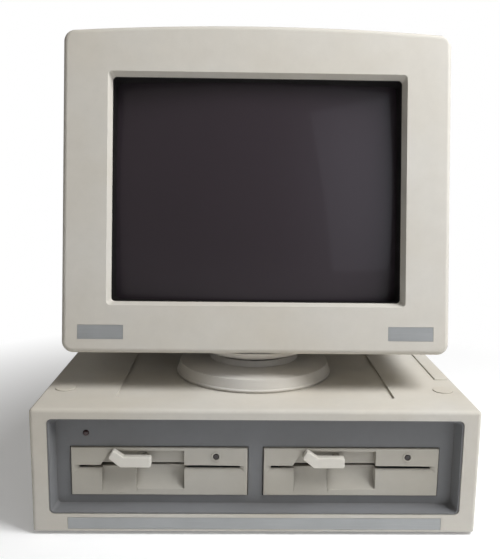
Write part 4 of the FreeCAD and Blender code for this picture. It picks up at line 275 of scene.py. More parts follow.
def make_brushed_group():
    """Metal with fine lines along one direction, and faint stains."""
    tree, given, wanted = new_group(
        "Brushed metal",
        (("Colour", "NodeSocketColor", (0.6, 0.6, 0.6, 1.0)),
         ("Along", "NodeSocketVector", (20.0, 900.0, 2400.0)),
         ("Base Roughness", "NodeSocketFloat", 0.35)), SURFACE)
    place = add(tree, "ShaderNodeTexCoord").outputs["Object"]
    stretch = add(tree, "ShaderNodeVectorMath", operation="MULTIPLY")
    tree.links.new(place, stretch.inputs[0])
    tree.links.new(given.outputs["Along"], stretch.inputs[1])
    lines = noise(tree, stretch.outputs["Vector"], 1.0, detail=4.0, roughness=0.6).outputs["Fac"]
    stains = noise(tree, place, 40.0, detail=3.0, roughness=0.5).outputs["Fac"]
    level = maths(tree, "MULTIPLY", spread(tree, lines, (0.3, 0.7), (0.93, 1.05)),
                  spread(tree, stains, (0.3, 0.7), (0.95, 1.03)))
    tree.links.new(shaded(tree, level, given.outputs["Colour"]), wanted.inputs["Colour"])
    change = spread(tree, lines, (0.3, 0.7), (-0.08, 0.08))
    tree.links.new(maths(tree, "ADD", change, given.outputs["Base Roughness"], clamp=True),
                   wanted.inputs["Roughness"])
    tree.links.new(lines, wanted.inputs["Height"])
    return tree


def make_board_group():
    """A circuit board: lacquer over copper tracks in a grid, with plated holes."""
    tree, given, wanted = new_group(
        "Circuit board",
        (("Lacquer", "NodeSocketColor", (0.01, 0.09, 0.03, 1.0)),
         ("Track", "NodeSocketColor", (0.03, 0.17, 0.06, 1.0)),
         ("Pad", "NodeSocketColor", (0.5, 0.47, 0.4, 1.0))), SURFACE)
    place = add(tree, "ShaderNodeTexCoord").outputs["Object"]
    tracks = add(tree, "ShaderNodeTexBrick")
    tree.links.new(place, tracks.inputs["Vector"])
    tracks.inputs["Scale"].default_value = 60.0
    tracks.inputs["Mortar Size"].default_value = 0.03
    holes = add(tree, "ShaderNodeTexVoronoi", feature="DISTANCE_TO_EDGE")
    tree.links.new(place, holes.inputs["Vector"])
    holes.inputs["Scale"].default_value = 320.0
    track_share = spread(tree, tracks.outputs["Fac"], (0.4, 0.6))
    colour = blend(tree, track_share, given.outputs["Lacquer"], given.outputs["Track"])
    pad_share = spread(tree, holes.outputs["Distance"], (0.4, 0.46))
    colour = blend(tree, pad_share, colour, given.outputs["Pad"])
    tree.links.new(colour, wanted.inputs["Colour"])
    tree.links.new(spread(tree, pad_share, (0.0, 1.0), (0.34, 0.25)), wanted.inputs["Roughness"])
    tree.links.new(maths(tree, "ADD", track_share, pad_share), wanted.inputs["Height"])
    return tree


GROUPS = {}
MATERIALS = {}


def new_material(name):
    made = bpy.data.materials.new(name)
    made.use_nodes = True
    MATERIALS[name] = made
    return made, made.node_tree, made.node_tree.nodes["Principled BSDF"]


def use_group(tree, shader, group, strength, distance, **values):
    """Places a group in a material and joins it to the shader, its height through a bump."""
    made = add(tree, "ShaderNodeGroup", node_tree=GROUPS[group])
    for label, value in values.items():
        made.inputs[label.replace("_", " ")].default_value = value
    tree.links.new(made.outputs["Colour"], shader.inputs["Base Color"])
    tree.links.new(made.outputs["Roughness"], shader.inputs["Roughness"])
    bump = add(tree, "ShaderNodeBump")
    bump.inputs["Strength"].default_value = strength
    bump.inputs["Distance"].default_value = distance
    tree.links.new(made.outputs["Height"], bump.inputs["Height"])
    tree.links.new(bump.outputs["Normal"], shader.inputs["Normal"])
    return made


# The corner amount darkens corners and gaps towards dark brown: partly dirt, partly painted shade
def plastic(name, colour, aged, ageing=0.5, dirt_and_shade=0.35, grain=900.0, rough=0.5, depth=0.00006, specular=0.4):
    made, tree, shader = new_material(name)
    use_group(tree, shader, "Aged plastic", 0.5, depth, Colour=opaque(colour), Aged=opaque(aged),
              Ageing=ageing, Grime=dirt_and_shade, Grain_Scale=grain, Base_Roughness=rough)
    shader.inputs["Specular IOR Level"].default_value = specular
    return made


def metal(name, colour, along=(900.0, 20.0, 2400.0), rough=0.35, depth=0.00001, metallic=1.0):
    made, tree, shader = new_material(name)
    use_group(tree, shader, "Brushed metal", 0.4, depth, Colour=opaque(colour), Along=along,
              Base_Roughness=rough)
    shader.inputs["Metallic"].default_value = metallic
    return made


def screen_material(choices):
    """Dark phosphor behind thick glass, dull enough to blur what it reflects."""
    made, tree, shader = new_material("screen_glass")
    place = add(tree, "ShaderNodeTexCoord").outputs["Object"]
    tone = noise(tree, place, 6.0, detail=2.0, roughness=0.5).outputs["Fac"]
    share = spread(tree, tone, (0.3, 0.7))
    lighter = tuple(level * 1.12 for level in choices.phosphor)
    colour = blend(tree, share, opaque(choices.phosphor), opaque(lighter))
    tree.links.new(colour, shader.inputs["Base Color"])
    dust = noise(tree, place, 120.0, detail=6.0, roughness=0.7).outputs["Fac"]
    tree.links.new(spread(tree, dust, (0.35, 0.75), (choices.gloss * 0.94, choices.gloss * 1.06)),
                   shader.inputs["Roughness"])
    dots = noise(tree, place, 1500.0, detail=1.0, roughness=0.4).outputs["Fac"]
    bump = add(tree, "ShaderNodeBump")
    bump.inputs["Strength"].default_value = 0.12
    bump.inputs["Distance"].default_value = 0.00001
    tree.links.new(dots, bump.inputs["Height"])
    tree.links.new(bump.outputs["Normal"], shader.inputs["Normal"])
    shader.inputs["Specular IOR Level"].default_value = 0.5
    shader.inputs["Coat Weight"].default_value = 0.3
    shader.inputs["Coat Roughness"].default_value = 0.05
    return made


def bulb_material():
    """Dark coated glass of the tube's funnel, with a duller band of graphite."""
    made, tree, shader = new_material("bulb_coating")
    place = add(tree, "ShaderNodeTexCoord").outputs["Object"]
    brushed = noise(tree, place, 60.0, detail=5.0, roughness=0.7).outputs["Fac"]
    share = spread(tree, brushed, (0.35, 0.65))
    tree.links.new(blend(tree, share, opaque((0.012, 0.012, 0.013)), opaque((0.035, 0.034, 0.033))),
                   shader.inputs["Base Color"])
    tree.links.new(spread(tree, share, (0.0, 1.0), (0.25, 0.6)), shader.inputs["Roughness"])
    return made


def lamp_material(name, levels):
    """A small tinted lens, unlit."""
    made, tree, shader = new_material(name)
    place = add(tree, "ShaderNodeTexCoord").outputs["Object"]
    cloudy = noise(tree, place, 500.0, detail=2.0, roughness=0.5).outputs["Fac"]
    share = spread(tree, cloudy, (0.3, 0.7))
    dark = linear(*levels)
    tree.links.new(blend(tree, share, opaque(dark), opaque(level * 1.5 for level in dark)),
                   shader.inputs["Base Color"])
    tree.links.new(spread(tree, share, (0.0, 1.0), (0.12, 0.25)), shader.inputs["Roughness"])
    shader.inputs["Coat Weight"].default_value = 0.6
    return made


def board_material(name, lacquer, track):
    made, tree, shader = new_material(name)
    use_group(tree, shader, "Circuit board", 0.4, 0.05 * MM, Lacquer=opaque(linear(*lacquer)),
              Track=opaque(linear(*track)))
    return made


def winding_material():
    """Copper wire in tight turns, under varnish."""
    made, tree, shader = new_material("copper_winding")
    place = add(tree, "ShaderNodeTexCoord").outputs["Object"]
    turns = add(tree, "ShaderNodeTexWave", wave_type="BANDS", bands_direction="Y")
    tree.links.new(place, turns.inputs["Vector"])
    turns.inputs["Scale"].default_value = 260.0
    turns.inputs["Distortion"].default_value = 0.6
    shadow, copper = opaque(linear(92, 46, 22)), opaque(linear(176, 98, 52))
    tree.links.new(blend(tree, turns.outputs["Fac"], shadow, copper), shader.inputs["Base Color"])
    tree.links.new(spread(tree, turns.outputs["Fac"], (0.0, 1.0), (0.5, 0.3)), shader.inputs["Roughness"])
    bump = add(tree, "ShaderNodeBump")
    bump.inputs["Distance"].default_value = 0.0002
    tree.links.new(turns.outputs["Fac"], bump.inputs["Height"])
    tree.links.new(bump.outputs["Normal"], shader.inputs["Normal"])
    shader.inputs["Metallic"].default_value = 0.6
    return made


# Ways of making a piece


def finish_piece(name, bm, body, material, node=None, bevel=0.0, steps=2, angle=32.0, place=None):
    """Turns a bmesh into a piece that rides on a body, with soft shading between its sharp edges."""
    if place is not None:
        bmesh.ops.transform(bm, matrix=place, verts=bm.verts)
    limit = math.radians(angle)
    for edge in bm.edges:
        edge.smooth = bevel > 0.0 or len(edge.link_faces) != 2 or edge.calc_face_angle(0.0) < limit
    for face in bm.faces:
        face.smooth = True
    mesh = bpy.data.meshes.new(name)
    bm.to_mesh(mesh)
    bm.free()
    piece = bpy.data.objects.new(name, mesh)
    bpy.context.scene.collection.objects.link(piece)
    mesh.materials.append(MATERIALS[material])
    if bevel > 0.0:
        rounding = piece.modifiers.new("soft edges", "BEVEL")
        rounding.width = bevel
        rounding.segments = steps
        rounding.limit_method = "ANGLE"
        rounding.angle_limit = limit
        flat = piece.modifiers.new("flat faces stay flat", "WEIGHTED_NORMAL")
        flat.mode = "FACE_AREA"
        flat.weight = 90
        flat.keep_sharp = True
    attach(piece, body)
    if node:
        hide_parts(node)
    return piece


def merged(node):
    """A bmesh of a node's solid with its loose triangles joined and its flat faces made whole."""
    bm = bmesh.new()
    bm.from_mesh(NODES[node].data)
    bmesh.ops.remove_doubles(bm, verts=bm.verts, dist=0.000004)
    bmesh.ops.dissolve_limit(bm, angle_limit=math.radians(0.6), verts=bm.verts, edges=bm.edges)
    bmesh.ops.triangulate(bm, faces=bm.faces, quad_method="BEAUTY", ngon_method="BEAUTY")
    return bm


def soften(node, body, material, bevel, steps=2, angle=32.0):
    """A node's own shape with its hard edges rounded."""
    return finish_piece(node + "_skin", merged(node), body, material, node, bevel, steps, angle)


def turned(outline, centre, steps):
    """A solid turned about the vertical from an outline of (radius, height) points."""
    bm = bmesh.new()
    verts = [bm.verts.new(centre + Vector((radius, 0.0, rise))) for radius, rise in outline]
    edges = [bm.edges.new((first, second)) for first, second in zip(verts, verts[1:])]
    bmesh.ops.spin(bm, geom=verts + edges, cent=centre, axis=(0.0, 0.0, 1.0), angle=math.tau, steps=steps,
                   use_merge=True)
    bmesh.ops.remove_doubles(bm, verts=bm.verts, dist=0.000002)
    bmesh.ops.holes_fill(bm, edges=bm.edges)
    bmesh.ops.recalc_face_normals(bm, faces=bm.faces)
    return bm


def arc(centre, radius, start, end, count):
    """Points on part of a circle, angles in degrees from the first axis towards the second."""
    points = []
    for index in range(count + 1):
        angle = math.radians(start + (end - start) * index / count)
        points.append((centre[0] + radius * math.cos(angle), centre[1] + radius * math.sin(angle)))
    return points


def slab(bm, low_corner, high_corner):
    """Adds a block between two corners."""
    made = bmesh.ops.create_cube(bm, size=1.0)["verts"]
    size = Vector(high_corner) - Vector(low_corner)
    middle = (Vector(high_corner) + Vector(low_corner)) / 2
    bmesh.ops.scale(bm, vec=size, verts=made)
    bmesh.ops.translate(bm, vec=middle, verts=made)
    return made


def disc(bm, centre, radius, thickness, segments):
    """Adds a short rod that lies from front to back, centred on a point."""
    matrix = Matrix.Translation(centre) @ Matrix.Rotation(math.pi / 2, 4, "X")
    return bmesh.ops.create_cone(bm, cap_ends=True, segments=segments, radius1=radius, radius2=radius,
                                 depth=thickness, matrix=matrix)["verts"]


def rounded_sheet(bm, width, height, radius, steps):
    """A flat sheet across x and z with rounded corners, centred on the origin."""
    made = bmesh.ops.create_grid(bm, x_segments=1, y_segments=1, size=0.5)["verts"]
    bmesh.ops.scale(bm, vec=(width, height, 1.0), verts=made)
    bmesh.ops.rotate(bm, verts=made, matrix=Matrix.Rotation(math.pi / 2, 3, "X"))
    bmesh.ops.bevel(bm, geom=made, offset=radius, offset_type="OFFSET", segments=steps, profile=0.5,
                    affect="VERTICES", material=-1)
    return bm


# Pieces

SCREEN_FRONT = 9.5 * MM
SCREEN_MIDDLE = 144.2 * MM
SCREEN_WIDTH, SCREEN_HEIGHT = 276.0 * MM, 216.0 * MM
OPENING_WIDTH, OPENING_HEIGHT = 255.4 * MM, 197.4 * MM


def glass_depth(point, bulge):
    """How far behind the bezel's face the glass lies at a point measured from the screen's middle."""
    span = point.x ** 2 + point.z ** 2
    return SCREEN_FRONT + bulge - math.sqrt(bulge * bulge - span)


class BuilderOperator:
    """What every operator here shares."""

    bl_options = {"REGISTER", "UNDO"}

    def execute(self, context):
        self.make(context.scene)
        return {"FINISHED"}


class MaterialsOperator(BuilderOperator, bpy.types.Operator):
    """Makes the shader groups and every finish"""

    bl_idname = "computer.materials"
    bl_label = "Finishes"

    def make(self, scene):
        casing = scene.computer_casing
        GROUPS["Aged plastic"] = make_aged_plastic_group()
        GROUPS["Brushed metal"] = make_brushed_group()
        GROUPS["Circuit board"] = make_board_group()
        depth = casing.grain
        # Name, colour, aged colour; then ageing, corner dirt and painted shade, grain scale, roughness, grain
        # height, specular
        for name, colour, aged, *values in (
                ("casing_plastic", casing.casing, casing.aged, 0.55, 0.30, 1100.0, 0.46, depth),
                ("monitor_plastic", casing.casing, casing.aged, 0.45, 0.25, 1300.0, 0.42, depth * 0.7),
                # The foot's finish takes the lightened foot colour: painted light against the monitor's
                # shadow
                ("foot_plastic", casing.disc, casing.aged, 0.5, 0.25, 1000.0, 0.45, depth),
                ("fascia_plastic", casing.fascia, linear(112, 112, 112), 0.5, 0.35, 1400.0, 0.5, depth * 1.3),
                ("drive_plastic", casing.drive, linear(172, 165, 150), 0.5, 0.45, 1500.0, 0.48, depth * 0.8),
                ("lever_plastic", casing.lever, linear(214, 208, 196), 0.5, 0.2, 1500.0, 0.4, depth * 0.5),
                # The caps darken most round their edges: painted shade in the gaps about them, with dirt
                ("cap_plastic", casing.casing, casing.aged, 0.7, 0.5, 1100.0, 0.45, depth),
                ("dark_plastic", linear(34, 33, 32), linear(48, 46, 43), 0.6, 0.2, 1500.0, 0.4, depth),
                ("black_trim", linear(22, 21, 21), linear(30, 28, 27), 0.6, 0.0, 1500.0, 0.55, depth),
                ("foot_rubber", linear(38, 37, 36), linear(58, 56, 53), 0.8, 0.3, 700.0, 0.75, depth * 2,
                 0.2),
                ("chip_epoxy", linear(30, 30, 31), linear(44, 44, 44), 0.5, 0.1, 2500.0, 0.6, depth),
                ("speaker_paper", linear(46, 45, 44), linear(66, 62, 57), 0.8, 0.3, 900.0, 0.85, depth * 3,
                 0.1)):
            plastic(name, colour, aged, *values)
        metal("label_metal", casing.label, (30.0, 2600.0, 2600.0), 0.42, metallic=0.35)
        metal("bare_steel", linear(176, 176, 178), rough=0.34)
        metal("zinc_steel", linear(186, 186, 182), (500.0, 500.0, 500.0), 0.42)
        metal("cast_alloy", linear(170, 171, 174), (700.0, 700.0, 700.0), 0.5, 0.00005, 0.9)
        metal("motor_steel", linear(150, 152, 156), (20.0, 1800.0, 1800.0), 0.38)
        metal("tray_paint", linear(176, 172, 162), (900.0, 900.0, 900.0), 0.5, 0.00003, 0.05)
        metal("panel_paint", linear(182, 178, 168), (1100.0, 1100.0, 1100.0), 0.5, 0.00003, 0.05)
        metal("core_iron", linear(92, 92, 95), (60.0, 2200.0, 60.0), 0.55, 0.00006, 0.8)
        metal("cell_jacket", linear(198, 150, 84), (400.0, 20.0, 400.0), 0.32, metallic=0.5)
        screen_material(scene.computer_screen)
        bulb_material()
        lamp_material("power_lens", (44, 14, 12))
        lamp_material("drive_lens", (28, 16, 14))
        board_material("green_board", (22, 78, 44), (40, 108, 62))
        board_material("brown_board", (128, 92, 48), (150, 112, 62))
        winding_material()


class CaseOperator(BuilderOperator, bpy.types.Operator):
    """Makes the cover, tray, caps and label strip of the system unit"""

    bl_idname = "computer.case"
    bl_label = "System unit case"

    def make(self, scene):
        edge = scene.computer_casing.edge
        soften("top_cover", "case", "casing_plastic", edge * 0.8)
        soften("front_fascia", "case", "fascia_plastic", edge * 0.6)
        soften("slot_cover", "slot_lid", "casing_plastic", edge * 0.6)
        soften("screw_caps", "case", "cap_plastic", edge * 0.5)
        soften("battery_cover", "battery_lid", "casing_plastic", edge * 0.5)
        soften("label_strip", "case", "label_metal", edge * 0.15)
        soften("rubber_feet", "case", "foot_rubber", edge)
        for node, material in (("base_tray", "tray_paint"), ("rear_panel", "panel_paint"),
                               ("cover_screws", "bare_steel")):
            paint(node, material)


class DriveOperator(BuilderOperator, bpy.types.Operator):
    """Makes the disk drive fronts, levers and lamps"""

    bl_idname = "computer.drives"
    bl_label = "Disk drives"

    def make(self, scene):
        edge = scene.computer_casing.edge
        for side in ("left", "right"):
            soften(side + "_drive_bezel", "case", "drive_plastic", edge * 0.5)
            soften(side + "_drive_lever", side + "_lever", "lever_plastic", edge * 1.2, 3)
            for node, material in (("drive_frame", "cast_alloy"), ("spindle", "bare_steel"),
                                   ("hub_clamp", "dark_plastic"), ("head_carriage", "dark_plastic"),
                                   ("stepper", "motor_steel"), ("stepper_pulley", "bare_steel")):
                paint(side + "_" + node, material)
        paint("drive_boards", "green_board")
        soften("drive_lamps", "case", "drive_lens", edge * 0.6)
        soften("power_lamp", "case", "power_lens", edge * 0.4)


class InsideOperator(BuilderOperator, bpy.types.Operator):
    """Finishes the boards, battery cells and other pieces inside the system unit"""

    bl_idname = "computer.inside"
    bl_label = "Inside the case"

    def make(self, scene):
        for node, material in (("main_board", "green_board"), ("board_chips", "chip_epoxy"),
                               ("expansion_connectors", "dark_plastic"), ("battery_cells", "cell_jacket"),
                               ("loudspeaker", "speaker_paper"), ("volume_control", "motor_steel")):
            paint(node, material)


class SocketOperator(BuilderOperator, bpy.types.Operator):
    """Makes the sockets and the volume wheel with their pins and jack screws"""

    bl_idname = "computer.sockets"
    bl_label = "Sockets"

    def make(self, scene):
        edge = scene.computer_casing.edge
        soften("data_sockets", "case", "zinc_steel", edge * 0.5)
        soften("power_socket", "case", "dark_plastic", edge * 0.6)
        soften("keyboard_socket", "case", "dark_plastic", edge * 0.4)
        soften("volume_wheel", "volume", "dark_plastic", edge * 0.3)
        self.rear_pins()

    def rear_pins(self):
        """Pin holes in each rear D shaped socket, painted as black discs for the shade inside them, and a
        hexagonal jack screw at each of its ends.
        """
        holes = bmesh.new()
        nuts = bmesh.new()
        faces = bmesh.new()
        face_y = high("data_sockets").y
        flange_y = high("rear_panel").y
        middle_z = (low("power_socket").z + high("power_socket").z) / 2
        pin_pitch = 2.76 * MM
        row_height = 1.42 * MM
        pin_radius = 0.62 * MM
        pin_depth = 0.32 * MM
        pin_behind_face = 0.15 * MM
        face_inset = 1.2 * MM
        face_half_height = 3.2 * MM
        face_thickness = 0.4 * MM
        shell_end = 7.0 * MM
        nut_past_shell = 4.0 * MM
        nut_radius = 2.6 * MM
        nut_length = 4.0 * MM
        nut_past_flange = 3.0 * MM
        # Place across the panel, number of pins in the longer row, width of the flange
        for x, pins, flange_width in ((-75.0 * MM, 13, 53.0 * MM), (0.0, 13, 53.0 * MM),
                                      (62.0 * MM, 5, 31.0 * MM)):
            half_shell = flange_width / 2 - shell_end
            half_face = half_shell - face_inset
            slab(faces, (x - half_face, face_y - face_thickness, middle_z - face_half_height),
                 (x + half_face, face_y - 0.01 * MM, middle_z + face_half_height))
            for row, count in ((row_height, pins), (-row_height, pins - 1)):
                for index in range(count):
                    along = x + (index - (count - 1) / 2) * pin_pitch
                    place = Vector((along, face_y - pin_behind_face, middle_z + row))
                    # Painted shade: each pin hole is a black disc standing just proud of the socket face
                    disc(holes, place, pin_radius, pin_depth, 10)
            for side in (-1, 1):
                along = x + side * (half_shell + nut_past_shell)
                place = Vector((along, flange_y + nut_past_flange, middle_z))
                disc(nuts, place, nut_radius, nut_length, 6)
        finish_piece("socket_faces", faces, "case", "dark_plastic", bevel=0.1 * MM)
        finish_piece("socket_pin_hole_shade", holes, "case", "black_trim")
        finish_piece("socket_jack_screws", nuts, "case", "bare_steel", bevel=0.25 * MM)


class FootOperator(BuilderOperator, bpy.types.Operator):
    """Turns the monitor's round foot, and finishes the ball dome that rocks in it"""

    bl_idname = "computer.foot"
    bl_label = "Monitor foot"

    def make(self, scene):
        steps = scene.computer_studio.turns
        base = Vector((BALL_CENTRE.x, BALL_CENTRE.y, low("swivel_base").z))
        rim = (high("swivel_base").x - low("swivel_base").x) / 2
        rise = BALL_CENTRE.z - base.z
        seat = BALL_RADIUS + 0.3 * MM
        lip = 37.0 * MM
        inner = 25.0 * MM
        lip_rise = rise - math.sqrt(seat * seat - lip * lip)
        rim_round = 1.6 * MM
        lip_round = 1.2 * MM
        top_centre, top_radius = (41.0 * MM, -128.0 * MM), 143.0 * MM
        # Underside, rounded rim, gently domed top, rounded lip, then the round seat of the ball
        outline = [(inner, 1.0 * MM), (rim - rim_round / 2, 0.0)]
        outline += arc((rim - rim_round, 1.8 * MM), rim_round, -60.0, 72.0, 7)
        outline += arc(top_centre, top_radius, 77.6, 89.2, 14)
        outline += arc((40.3 * MM, lip_rise - lip_round / 2), lip_round, 20.0, 120.0, 6)
        outline += [(seat_radius, rise - math.sqrt(seat * seat - seat_radius * seat_radius))
                    for seat_radius in (lip, 33.0 * MM, 29.0 * MM, inner)]
        outline.append(outline[0])
        bm = turned(outline, base, steps)
        finish_piece("swivel_base_turned", bm, "case", "foot_plastic", "swivel_base",
                     angle=38.0)
        finish_piece("ball_dome_skin", merged("ball_dome"), "monitor", "foot_plastic", "ball_dome",
                     angle=38.0)
        paint("swivel_key", "dark_plastic")
        paint("pivot_bolt", "bare_steel")


class MonitorOperator(BuilderOperator, bpy.types.Operator):
    """Makes the monitor's case, name plates and controls"""

    bl_idname = "computer.monitor"
    bl_label = "Monitor case"

    def make(self, scene):
        edge = scene.computer_casing.edge
        soften("monitor_bezel", "monitor", "monitor_plastic", edge)
        soften("monitor_cabinet", "monitor", "monitor_plastic", edge * 0.8)
        soften("name_plates", "monitor", "label_metal", edge * 0.3)
        soften("brightness_wheel", "brightness", "dark_plastic", edge * 0.3)
        soften("contrast_wheel", "contrast", "dark_plastic", edge * 0.3)
        soften("power_rocker", "rocker", "dark_plastic", edge)
        soften("rocker_housing", "monitor", "dark_plastic", edge * 0.5)
        soften("cable_gland", "monitor", "dark_plastic", edge * 0.6)
        paint("cabinet_screws", "bare_steel")


class TubeOperator(BuilderOperator, bpy.types.Operator):
    """Makes the picture tube, its surround and what stands round its neck"""

    bl_idname = "computer.tube"
    bl_label = "Picture tube"

    def make(self, scene):
        bulge = scene.computer_screen.bulge
        self.screen(bulge)
        self.surround(bulge)
        for node, material in (("tube_band", "zinc_steel"), ("tube_screws", "bare_steel"),
                               ("deflection_yoke", "copper_winding"), ("neck_board", "brown_board"),
                               ("monitor_board", "brown_board"), ("flyback_transformer", "chip_epoxy"),
                               ("power_transformer", "core_iron")):
            paint(node, material)

    def screen(self, bulge):
        """The glass face, a patch of a large sphere with rounded corners, and the bulb behind it."""
        bm = bmesh.new()
        made = bmesh.ops.create_grid(bm, x_segments=64, y_segments=52, size=0.5)["verts"]
        bmesh.ops.scale(bm, vec=(SCREEN_WIDTH, SCREEN_HEIGHT, 1.0), verts=made)
        bmesh.ops.rotate(bm, verts=made, matrix=Matrix.Rotation(math.pi / 2, 3, "X"))
        for vert in bm.verts:
            vert.co.y = glass_depth(vert.co, bulge)
            vert.co.z += SCREEN_MIDDLE
        bmesh.ops.recalc_face_normals(bm, faces=bm.faces)
        if sum(face.normal.y for face in bm.faces) > 0.0:
            bmesh.ops.reverse_faces(bm, faces=bm.faces)
        bmesh.ops.solidify(bm, geom=bm.faces[:], thickness=5.0 * MM)
        bmesh.ops.recalc_face_normals(bm, faces=bm.faces)
        finish_piece("screen_face", bm, "monitor", "screen_glass", place=FACE)
        bm = merged("picture_tube")
        behind = FACE @ Vector((0.0, SCREEN_FRONT + 27.0 * MM, SCREEN_MIDDLE))
        inward = (FACE.to_3x3() @ Vector((0.0, 1.0, 0.0))).normalized()
        bmesh.ops.bisect_plane(bm, geom=bm.verts[:] + bm.edges[:] + bm.faces[:], plane_co=behind,
                               plane_no=inward, clear_inner=True)
        bmesh.ops.holes_fill(bm, edges=bm.edges)
        finish_piece("tube_bulb", bm, "monitor", "bulb_coating", "picture_tube", angle=40.0)

    def surround(self, bulge):
        """A dark lip that runs from the bezel's opening back to the curved glass."""
        lip_depth = 8.0 * MM
        lip_width = 2.6 * MM
        overlap = 0.6 * MM
        bm = rounded_sheet(bmesh.new(), OPENING_WIDTH + overlap, OPENING_HEIGHT + overlap, 4.0 * MM, 6)
        straight = [edge for edge in bm.edges if edge.calc_length() > 50.0 * MM]
        bmesh.ops.subdivide_edges(bm, edges=straight, cuts=24)
        bmesh.ops.delete(bm, geom=bm.faces[:], context="FACES_ONLY")
        moved = bmesh.ops.extrude_edge_only(bm, edges=bm.edges[:])["geom"]
        inner = [item for item in moved if isinstance(item, bmesh.types.BMVert)]
        for vert in bm.verts:
            vert.co.y = lip_depth - 0.2 * MM
        for vert in inner:
            vert.co.x *= 1.0 - lip_width / OPENING_WIDTH
            vert.co.z *= 1.0 - lip_width / OPENING_HEIGHT
            vert.co.y = glass_depth(vert.co, bulge) + 0.4 * MM
        for vert in bm.verts:
            vert.co.z += SCREEN_MIDDLE
        bmesh.ops.recalc_face_normals(bm, faces=bm.faces)
        bmesh.ops.solidify(bm, geom=bm.faces[:], thickness=0.8 * MM)
        bmesh.ops.recalc_face_normals(bm, faces=bm.faces)
        finish_piece("screen_surround", bm, "monitor", "black_trim", angle=50.0,
                     place=FACE)


def paint(node, material):
    """Gives a CAD node that keeps its shape a finish."""
    slots = NODES[node].data.materials
    slots.clear()
    slots.append(MATERIALS[material])


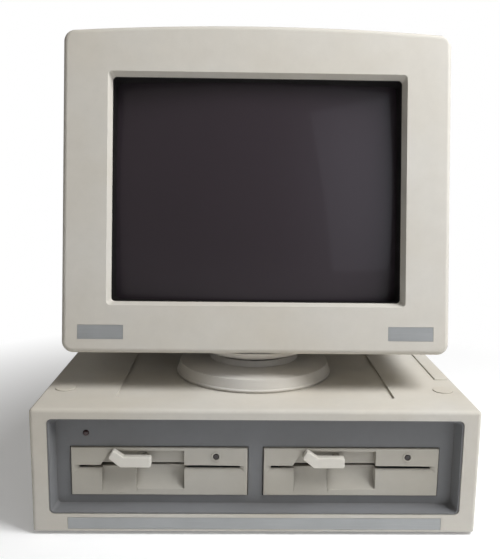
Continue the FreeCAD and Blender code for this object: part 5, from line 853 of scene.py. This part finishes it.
class StageOperator(BuilderOperator, bpy.types.Operator):
    """Makes the floor, the backdrop, the lamps and the camera"""

    bl_idname = "computer.stage"
    bl_label = "Stage"

    def make(self, scene):
        studio = scene.computer_studio
        scene.view_settings.view_transform = "Standard"
        self.camera(scene, studio)
        self.floor(studio)
        self.lamps(studio)
        self.world(scene, studio)

    def camera(self, scene, studio):
        """The photograph's place and angle, in metres and radians."""
        place = (-0.01698, -0.73891, 0.30884)
        yaw, pitch, roll = -0.01862, 0.165, 0.01242
        data = bpy.data.cameras.new("camera")
        data.lens = studio.lens
        data.sensor_width = 36.0
        made = bpy.data.objects.new("camera", data)
        scene.collection.objects.link(made)
        across = Vector((math.cos(yaw), math.sin(yaw), 0.0))
        ahead = Vector((-math.sin(yaw) * math.cos(pitch), math.cos(yaw) * math.cos(pitch), -math.sin(pitch)))
        up = across.cross(ahead)
        right = across * math.cos(roll) + up * math.sin(roll)
        up = up * math.cos(roll) - across * math.sin(roll)
        turn = Matrix((right, up, -ahead)).transposed()
        made.matrix_world = Matrix.Translation(place) @ turn.to_4x4()
        scene.camera = made

    def floor(self, studio):
        """A pale floor that keeps the object's shadow, and fades to white around it for the camera."""
        fade_range = (0.27, 0.6)
        bm = bmesh.new()
        made = bmesh.ops.create_grid(bm, x_segments=1, y_segments=1, size=6.0)["verts"]
        bmesh.ops.translate(bm, vec=(0.0, 0.0, -0.0002), verts=made)
        mesh = bpy.data.meshes.new("floor")
        bm.to_mesh(mesh)
        bm.free()
        floor = bpy.data.objects.new("floor", mesh)
        bpy.context.scene.collection.objects.link(floor)
        material, tree, shader = new_material("floor_paper")
        shader.inputs["Base Color"].default_value = opaque(studio.floor)
        shader.inputs["Roughness"].default_value = 0.9
        glow = add(tree, "ShaderNodeEmission")
        glow.inputs["Color"].default_value = WHITE
        seen = add(tree, "ShaderNodeLightPath").outputs["Is Camera Ray"]
        tree.links.new(maths(tree, "MULTIPLY", seen, studio.glow), glow.inputs["Strength"])
        both = add(tree, "ShaderNodeAddShader")
        tree.links.new(shader.outputs[0], both.inputs[0])
        tree.links.new(glow.outputs[0], both.inputs[1])
        white = add(tree, "ShaderNodeEmission")
        white.inputs["Color"].default_value = WHITE
        reach = add(tree, "ShaderNodeVectorMath", operation="LENGTH")
        tree.links.new(add(tree, "ShaderNodeTexCoord").outputs["Object"], reach.inputs[0])
        far_away = spread(tree, reach.outputs["Value"], fade_range)
        fade = add(tree, "ShaderNodeMixShader")
        tree.links.new(maths(tree, "MULTIPLY", far_away, seen), fade.inputs[0])
        tree.links.new(both.outputs[0], fade.inputs[1])
        tree.links.new(white.outputs[0], fade.inputs[2])
        tree.links.new(fade.outputs[0], tree.nodes["Material Output"].inputs["Surface"])
        mesh.materials.append(material)

    def lamps(self, studio):
        """A soft key from the right and above, a weak fill from the left, and a window from the front.

        Only the window shows in what reflects.
        """
        target = Vector((0.0, -0.05, 0.18))
        for name, place, size, power, colour in (
                ("key_lamp", (0.72, -0.45, 1.1), 0.6, studio.key, (0.98, 0.99, 1.0)),
                ("fill_lamp", (-1.5, -1.2, 0.7), 1.6, studio.fill, (1.0, 0.95, 0.87)),
                ("window_lamp", (1.3, -2.0, 0.95), 1.5, studio.window, (0.82, 0.88, 1.0))):
            data = bpy.data.lights.new(name, "AREA")
            data.energy = power
            data.size = size
            data.color = colour
            made = bpy.data.objects.new(name, data)
            made.visible_glossy = name == "window_lamp"
            made.location = place
            made.rotation_euler = (target - Vector(place)).to_track_quat("-Z", "Y").to_euler()
            bpy.context.scene.collection.objects.link(made)

    def world(self, scene, studio):
        """Even light, white where the camera sees it."""
        world = bpy.data.worlds.new("studio")
        scene.world = world
        world.use_nodes = True
        tree = world.node_tree
        tree.nodes.clear()
        even = add(tree, "ShaderNodeBackground")
        even.inputs["Color"].default_value = opaque((1.0, 0.97, 0.92))
        even.inputs["Strength"].default_value = studio.ambient
        white = add(tree, "ShaderNodeBackground")
        white.inputs["Color"].default_value = WHITE
        white.inputs["Strength"].default_value = 1.0
        path = add(tree, "ShaderNodeLightPath")
        mixer = add(tree, "ShaderNodeMixShader")
        tree.links.new(path.outputs["Is Camera Ray"], mixer.inputs[0])
        tree.links.new(even.outputs[0], mixer.inputs[1])
        tree.links.new(white.outputs[0], mixer.inputs[2])
        output = add(tree, "ShaderNodeOutputWorld")
        tree.links.new(mixer.outputs[0], output.inputs["Surface"])


# The add-on's panel and registration


OPERATORS = (MaterialsOperator, StageOperator, CaseOperator, DriveOperator, InsideOperator, SocketOperator,
             FootOperator, MonitorOperator, TubeOperator)


class ComputerPanel(bpy.types.Panel):
    """Lists the sizes, colours and pieces of the computer"""

    bl_idname = "VIEW3D_PT_computer"
    bl_label = "Vintage home computer"
    bl_space_type = "VIEW_3D"
    bl_region_type = "UI"
    bl_category = "Computer"

    def draw(self, context):
        layout = self.layout
        for name in CHOICES:
            column = layout.column(align=True)
            group = getattr(context.scene, name)
            for key in group.__annotations__:
                column.prop(group, key)
        for operator in OPERATORS:
            layout.operator(operator.bl_idname)


CHOICES = {"computer_casing": CasingChoices, "computer_screen": ScreenChoices,
           "computer_studio": StudioChoices}


def register():
    for choice in CHOICES.values():
        bpy.utils.register_class(choice)
    for name, choice in CHOICES.items():
        setattr(bpy.types.Scene, name, PointerProperty(type=choice))
    for operator in OPERATORS:
        bpy.utils.register_class(operator)
    bpy.utils.register_class(ComputerPanel)


def unregister():
    bpy.utils.unregister_class(ComputerPanel)
    for operator in reversed(OPERATORS):
        bpy.utils.unregister_class(operator)
    for name in CHOICES:
        delattr(bpy.types.Scene, name)
    for choice in CHOICES.values():
        bpy.utils.unregister_class(choice)


def main():
    """Makes every piece in order."""
    register()
    for operator in OPERATORS:
        group, name = operator.bl_idname.split(".")
        getattr(getattr(bpy.ops, group), name)()


if __name__ == "__main__":
    main()
